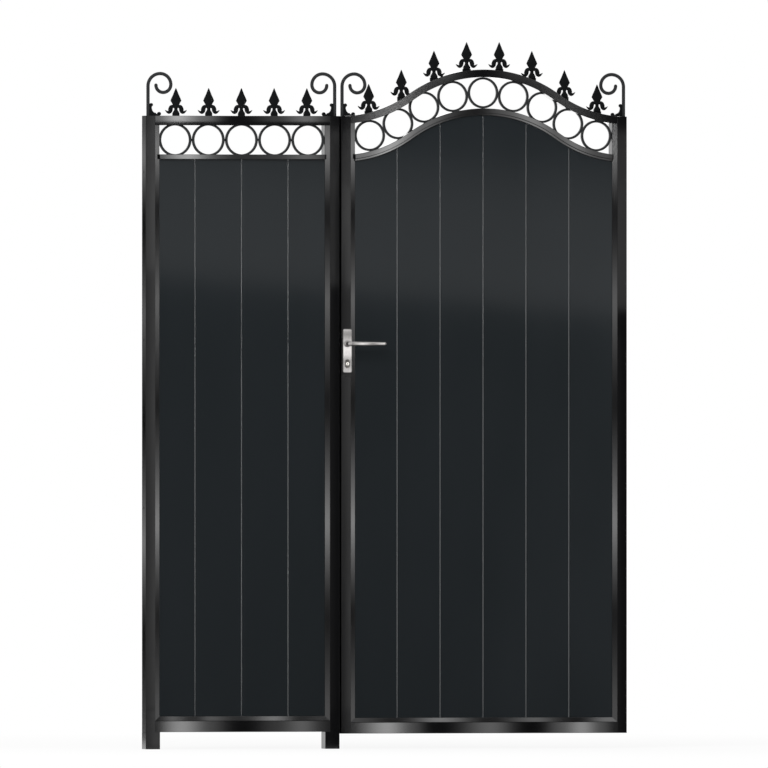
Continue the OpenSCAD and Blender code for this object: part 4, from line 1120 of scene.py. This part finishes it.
# %% [markdown]
# ## Black flags and light cards
#
# Gloss black has almost no colour of its own: what the eye sees on it is the room. A photographer
# takes the white room away with black flags, and then brings back chosen strips of light with cards.
# Here both are plain planes that only reflections can see. A flag is black. A card lets everything
# through and adds a soft gradient, and light linking gives it to the pieces that it is meant for.
# A face turned by an angle mirrors what stands at twice that angle, plus the camera's twelve degrees.

# %% How flags and cards are built
def plane(name, corner, along, up):
    """A rectangle from one corner along two directions, which only reflections can see."""
    corner, along, up = Vector(corner), Vector(along), Vector(up)
    mesh = bpy.data.meshes.new(name)
    mesh.from_pydata([corner, corner + along, corner + along + up, corner + up], [], [(0, 1, 2, 3)])
    piece = new_piece(name, mesh)
    piece.visible_camera = piece.visible_diffuse = piece.visible_transmission = False
    piece.visible_volume_scatter = piece.visible_shadow = False
    return piece


def black_flag(name, corner, along, up):
    """A flag that reflections see as black."""
    piece = plane(name, corner, along, up)
    black = bpy.data.materials.new(name)
    tree = emptied(black)
    dark = add(tree, "ShaderNodeEmission", {"Color": (0, 0, 0, 1), "Strength": 0.0})
    add(tree, "ShaderNodeOutputMaterial", {"Surface": dark.outputs[0]})
    piece.data.materials.append(black)


screen_gamma = 2.2


def light_card(name, corner, along, up, axis, stops, gain, pieces, slope=0.0, blend="EASE"):
    """A card whose light follows stops of (place, grey) along an axis, for chosen pieces only; a slope
    tilts the bands, as a fall along X."""
    piece = plane(name, corner, along, up)
    material = bpy.data.materials.new(name)
    material.cycles.emission_sampling = "NONE"
    tree = emptied(material)
    place = add(tree, "ShaderNodeTexCoord").outputs["Object"]
    split = add(tree, "ShaderNodeSeparateXYZ", {"Vector": place})
    first, last = stops[0][0], stops[-1][0]
    tilt = add(tree, "ShaderNodeMath", {0: split.outputs["X"], 1: slope, 2: split.outputs[axis]},
               operation="MULTIPLY_ADD")
    along_it = add(tree, "ShaderNodeMapRange", {"Value": tilt.outputs[0], "From Min": first,
                                                "From Max": last})
    ramp = add(tree, "ShaderNodeValToRGB", {"Fac": along_it.outputs["Result"]})
    ramp.color_ramp.interpolation = blend
    elements = ramp.color_ramp.elements
    for i, (p, _) in enumerate(stops):
        at = (p - first) / (last - first)
        stop = elements[i] if i < 2 else elements.new(at)
        stop.position = at
    for stop, (_, grey) in zip(elements, stops):
        stop.color = (grey, grey, grey, 1)
    lift = add(tree, "ShaderNodeMath", {0: ramp.outputs["Color"], 1: screen_gamma}, operation="POWER")
    power = add(tree, "ShaderNodeMath", {0: lift.outputs[0], 1: gain}, operation="MULTIPLY")
    glow = add(tree, "ShaderNodeEmission", {"Strength": power.outputs[0]})
    clear = add(tree, "ShaderNodeBsdfTransparent")
    both = add(tree, "ShaderNodeAddShader", {0: glow.outputs[0], 1: clear.outputs[0]})
    add(tree, "ShaderNodeOutputMaterial", {"Surface": both.outputs[0]})
    piece.data.materials.append(material)
    group = bpy.data.collections.new(name + "_for")
    for target in pieces:
        group.objects.link(bpy.data.objects[target])
    piece.light_linking.receiver_collection = group


print("a mid grey on a card gives", round(0.5 ** screen_gamma, 3), "of its full light")

# %% [markdown]
# Four large flags stand in front of the gate, to its right, behind its left side and on the floor. A
# fifth, hardly wider than the gap between the leaf and the panel, closes that gap from behind, so the
# two faces in it stay dark.

# %% The flags
black_flag("front_flag", (-6.5, -2.6, -0.2), (9.2, 0, 0), (0, 0, 5.4))
black_flag("right_flag", (1.9, -1.5, -0.2), (0, 1.15, 0), (0, 0, 3.4))
black_flag("behind_left_flag", (-1.7, 1.7, -0.2), (0.9, 0, 0), (0, 0, 3.4))
black_flag("floor_flag", (-3.5, -2.6, 0.001), (7, 0, 0), (0, 2.4, 0))
gap_spill, gap_behind = 1.5 * MM, 0.5 * MM
black_flag("gap_flag", (panel_x1 - gap_spill, rear_y + gap_behind, -0.1),
           (leaf_x0 - panel_x1 + 2 * gap_spill, 0, 0), (0, 0, 2.1))
print("flags set: 5")

# %% [markdown]
# All the upright bevels, and the side of the left post, share one set of bands: bright at the very
# top, at chest height, at knee height and at the foot, and near black between. They are written once,
# as height and grey. A bevel sends the camera's line of sight off sideways, and its card stands
# square across that line, a short way off. The side of the left post looks at a card behind the
# gate, where the same bands lie a little lower and further apart.

# %% Cards for the uprights
bands = [(0.0, 0.33), (0.138, 0.305), (0.422, 0.095), (0.707, 0.51), (1.086, 0.09), (1.419, 0.385),
         (1.703, 0.08), (1.9, 0.49), (1.95, 0.43), (2.0, 0.33)]
bevel_w, bevel_drop = post_w - flat_w, 8 * MM
card_w, card_away = 0.4, 0.6
card_foot, card_h = -0.1, 2.2


def upright_card(upright, bevel_x, way, gain):
    """Bands for the bevel of an upright, which looks right where way is 1 and left where it is -1."""
    ray = forward.reflect(Vector((way * bevel_drop, -bevel_w, 0)).normalized())
    across = Vector((-ray.y, ray.x, 0)) * card_w
    corner = Vector((bevel_x, front_y + bevel_drop / 2, card_foot)) + card_away * ray - across / 2
    light_card(upright + "_bands", corner, across, (0, 0, card_h), "Z", bands, gain,
               [upright + "_rounded"], blend="LINEAR")


upright_card("left_post", panel_x0 + post_w - bevel_w / 2, 1, 19.5)
upright_card("right_post", panel_x1 - post_w + bevel_w / 2, -1, 21)
upright_card("lock_stile", leaf_x0 + post_w - bevel_w / 2, 1, 21)
upright_card("hinge_stile", leaf_x1 - post_w + bevel_w / 2, -1, 21)
side_stretch, side_fall = 1.037, 94.5 * MM
side_bands = [(z * side_stretch - side_fall, grey) for z, grey in bands]
light_card("bands_behind", (-1.5, 1.5, -0.2), (0.7, 0, 0), (0, 0, 2.5), "Z", side_bands, 2.3,
           ["left_post_rounded", "left_leg_rounded"], blend="LINEAR")
print("banded uprights:", len(upright_members))

# %% [markdown]
# A flat front face mirrors what stands twelve degrees to the right of straight ahead. At thirty
# centimetres that is six centimetres to the right of the face itself. Each front face has its own
# strip there: plain greys for the posts, with a lighter zone in their upper part, and soft waves of
# light along the rails.

# %% Cards for the posts
def front_card(name, x_low, x_high, z_low, z_high, stops, pieces, gap=0.3, face_y=front_y, gain=25,
               axis="X"):
    """A card for a front face, a gap in front of it, given by the face's own place."""
    shift = gap * math.tan(-view_turn)
    moved = [(p + shift, grey) for p, grey in stops] if axis == "X" else stops
    light_card(name, (x_low + shift, face_y - gap, z_low), (x_high - x_low, 0, 0), (0, 0, z_high - z_low),
               axis, moved, gain, pieces)


spill, soft_edge = 20 * MM, 20 * MM
post_zone_z, post_zone_fall = 1445 * MM, 0.081
zone_gain = 2.9


def post_card(name, x_low, greys, pieces):
    """A plain card for a post's front, shaded across its width, and a second one for its upper part."""
    x_high = x_low + flat_w + spill
    front_card(name, x_low - spill, x_high, -0.1, 2.1,
               [(x_low, greys[0]), (x_low + flat_w, greys[1])], pieces)
    edge = post_zone_z - post_zone_fall * x_low
    front_card(name + "_upper", x_low - spill, x_high, 1.3, 2.1,
               [(edge - soft_edge, 0.0), (edge + soft_edge, 0.52), (1.94, 0.52), (1.985, 0.1)],
               pieces, gain=zone_gain, axis="Z")


post_card("left_post_card", panel_x0, (0.17, 0.25), ["left_post_rounded", "left_leg_rounded"])
post_card("lock_stile_card", leaf_x0, (0.16, 0.23), ["lock_stile_rounded"])
post_card("right_post_card", panel_x1 - flat_w, (0.1, 0.01), ["right_post_rounded", "right_leg_rounded"])
post_card("hinge_stile_card", leaf_x1 - flat_w, (0.1, 0.01), ["hinge_stile_rounded"])
front_card("lock_stile_low_card", leaf_x0 - spill, leaf_x0 + flat_w / 2, -0.2, 1.1,
           [(0.05, 0.13), (0.45, 0.08), (1.05, 0.0)], ["lock_stile_rounded"], axis="Z")
print("post fronts lit")

# %% [markdown]
# Along each rail the light swells and fades in long soft waves, one or two to a bay. Each card lists
# its waves as place across the gate and grey. The undersides of the two arched rails look past the
# gate to what is behind it, so one plain card stands there for them.

# %% Cards for the rails
front_card("panel_bottom_card", panel_x0, panel_x1, 0.0, 0.12,
           [(-0.77, 0.19), (-0.67, 0.56), (-0.57, 0.26), (-0.48, 0.02), (-0.365, 0.21), (-0.275, 0.36),
            (-0.205, 0.17), (-0.16, 0.02)], ["side_bottom_rail_rounded"])
front_card("leaf_bottom_card", leaf_x0, leaf_x1, 0.0, 0.12,
           [(-0.14, 0.19), (0.0, 0.57), (0.085, 0.27), (0.15, 0.01), (0.335, 0.36), (0.47, 0.01),
            (0.56, 0.3), (0.63, 0.53), (0.695, 0.29), (0.765, 0.03)], ["leaf_bottom_rail_rounded"])
front_card("panel_top_card", panel_x0, panel_x1, 1.982, 2.05,
           [(-0.75, 0.38), (-0.68, 0.66), (-0.59, 0.38), (-0.49, 0.03), (-0.365, 0.22), (-0.265, 0.4),
            (-0.16, 0.12)], ["side_top_rail_rounded"], gap=0.08)
front_card("panel_ring_card", panel_x0, panel_x1, 1.82, 1.93,
           [(-0.75, 0.33), (-0.65, 0.63), (-0.54, 0.25), (-0.49, 0.13), (-0.365, 0.2), (-0.265, 0.36),
            (-0.16, 0.11)], ["side_ring_rail_rounded"])
front_card("arch_top_card", leaf_x0, leaf_x1, 1.9, 2.25,
           [(-0.12, 0.31), (0.015, 0.6), (0.17, 0.27), (0.31, 0.03), (0.41, 0.19), (0.59, 0.35),
            (0.685, 0.2), (0.73, 0.1)], ["leaf_top_rail_bent"])
front_card("arch_low_card", leaf_x0, leaf_x1, 1.78, 2.12,
           [(-0.07, 0.42), (0.005, 0.62), (0.11, 0.38), (0.29, 0.1), (0.37, 0.3), (0.47, 0.48),
            (0.55, 0.34), (0.6, 0.43), (0.68, 0.28)], ["leaf_ring_rail_bent"])
light_card("arch_back_card", (-0.5, 1.6, 1.3), (2.1, 0, 0), (0, 0, 1.9), "Z", [(1.3, 1.0), (3.2, 1.0)],
           0.9, ["leaf_top_rail_bent", "leaf_ring_rail_bent"])
print("rails lit")

# %% [markdown]
# The bevels of the bottom rails tip upwards, so they look at a strip above and in front of them.
# The boards, and every other dressed piece but the uprights, share one broad card high up. Its lower
# edge is the soft line that runs across the boards, a little higher at the left. The joints between
# the boards glint in a plain card on the right.

# %% Cards for the bottom bevels and the upper zone
bevel_ray = Vector((0.208, -0.537, 0.809))
bevel_up = bevel_ray * card_away
bevel_from = Vector((0, front_y + bevel_drop / 2, 0.09))
strip_w, strip_gain = 0.16, 24
strip_across = Vector((0, bevel_ray.z, -bevel_ray.y)) * strip_w


def bevel_card(name, x_low, x_high, stops, piece):
    """A card for a bottom rail's bevel, given by the bevel's own place."""
    corner = bevel_from + bevel_up + Vector((x_low, 0, 0)) - strip_across / 2
    light_card(name, corner, (x_high - x_low, 0, 0), strip_across, "X",
               [(p + bevel_up.x, grey) for p, grey in stops], strip_gain, [piece])


bevel_card("panel_bevel_card", panel_x0, panel_x1,
           [(-0.735, 0.11), (-0.7, 0.45), (-0.64, 0.04), (-0.58, 0.36), (-0.485, 0.12), (-0.37, 0.46),
            (-0.285, 0.12), (-0.22, 0.23)], "side_bottom_rail_rounded")
bevel_card("leaf_bevel_card", leaf_x0, leaf_x1,
           [(-0.105, 0.27), (0.03, 0.11), (0.17, 0.46), (0.325, 0.1), (0.48, 0.36), (0.615, 0.03),
            (0.71, 0.43)], "leaf_bottom_rail_rounded")

zone_gap = 0.42
zone_shift = zone_gap * math.tan(-view_turn)
zone_slope = 0.082
zone_stops = [(1.417, 0.0), (1.467, 0.46), (1.75, 0.43), (1.86, 0.36), (1.96, 0.11), (2.02, 0.05)]
uprights = [name + "_rounded" for name in upright_members]
light_card("upper_zone_card", (-1.1, front_y - zone_gap, 1.2), (2.5, 0, 0), (0, 0, 0.95), "Z",
           [(z - zone_slope * zone_shift, grey) for z, grey in zone_stops], zone_gain,
           [name for name in dressed if name not in uprights], slope=zone_slope)

light_card("board_joint_card", (1.6, -1.9, 0), (0, 1.5, 0), (0, 0, 2.2), "Z", [(0, 1.0), (2.2, 1.0)], 3.0,
           [name + "_coated" for name in board_names])
print("bevels, zone and joints lit")

# %% [markdown]
# The handle is bright metal, so it shows its cards almost as they are: soft bands down the plate, and
# waves of light along the grip. The lock cylinder and its plug have a small card each.

# %% Cards for the handle
front_card("plate_card", lever_x - 0.04, lever_x + 0.04, 1.17, 1.35,
           [(1.19, 0.87), (1.199, 0.8), (1.208, 0.66), (1.225, 0.6), (1.236, 0.72), (1.242, 0.94),
            (1.263, 1.0), (1.276, 0.95), (1.299, 0.72), (1.312, 0.42), (1.326, 0.86)],
           ["front_plate_pressed"], gap=0.12, face_y=plate_face, gain=1.6, axis="Z")
front_card("grip_card", lever_x - 0.3, tip_x + 0.02, lever_z - 0.04, lever_z + 0.04,
           [(-0.4, 0.7), (-0.17, 0.7), (-0.125, 0.42), (-0.111, 0.66), (-0.09, 1.0), (-0.074, 0.76),
            (-0.056, 0.4), (-0.039, 0.7), (-0.023, 0.95)],
           ["front_lever_forged"], gap=0.1, face_y=lever_low.y, gain=1.85)
front_card("cylinder_card", lever_x - 0.03, lever_x + 0.03, 1.17, 1.27,
           [(1.2, 0.66), (1.224, 0.62), (1.236, 0.2)], ["cylinder_body_eased"],
           gap=0.08, face_y=plate_face, gain=1.6, axis="Z")
front_card("plug_card", lever_x - 0.03, lever_x + 0.03, 1.18, 1.26,
           [(lever_x, 1.0), (lever_x + 0.01, 1.0)], ["cylinder_plug"],
           gap=0.08, face_y=plate_face, gain=2.4)
print("handle lit")

# %% [markdown]
# ## Last step
#
# The view layer is brought up to date, so that every piece stands where this script put it.

# %% Bringing the scene up to date
bpy.context.view_layer.update()
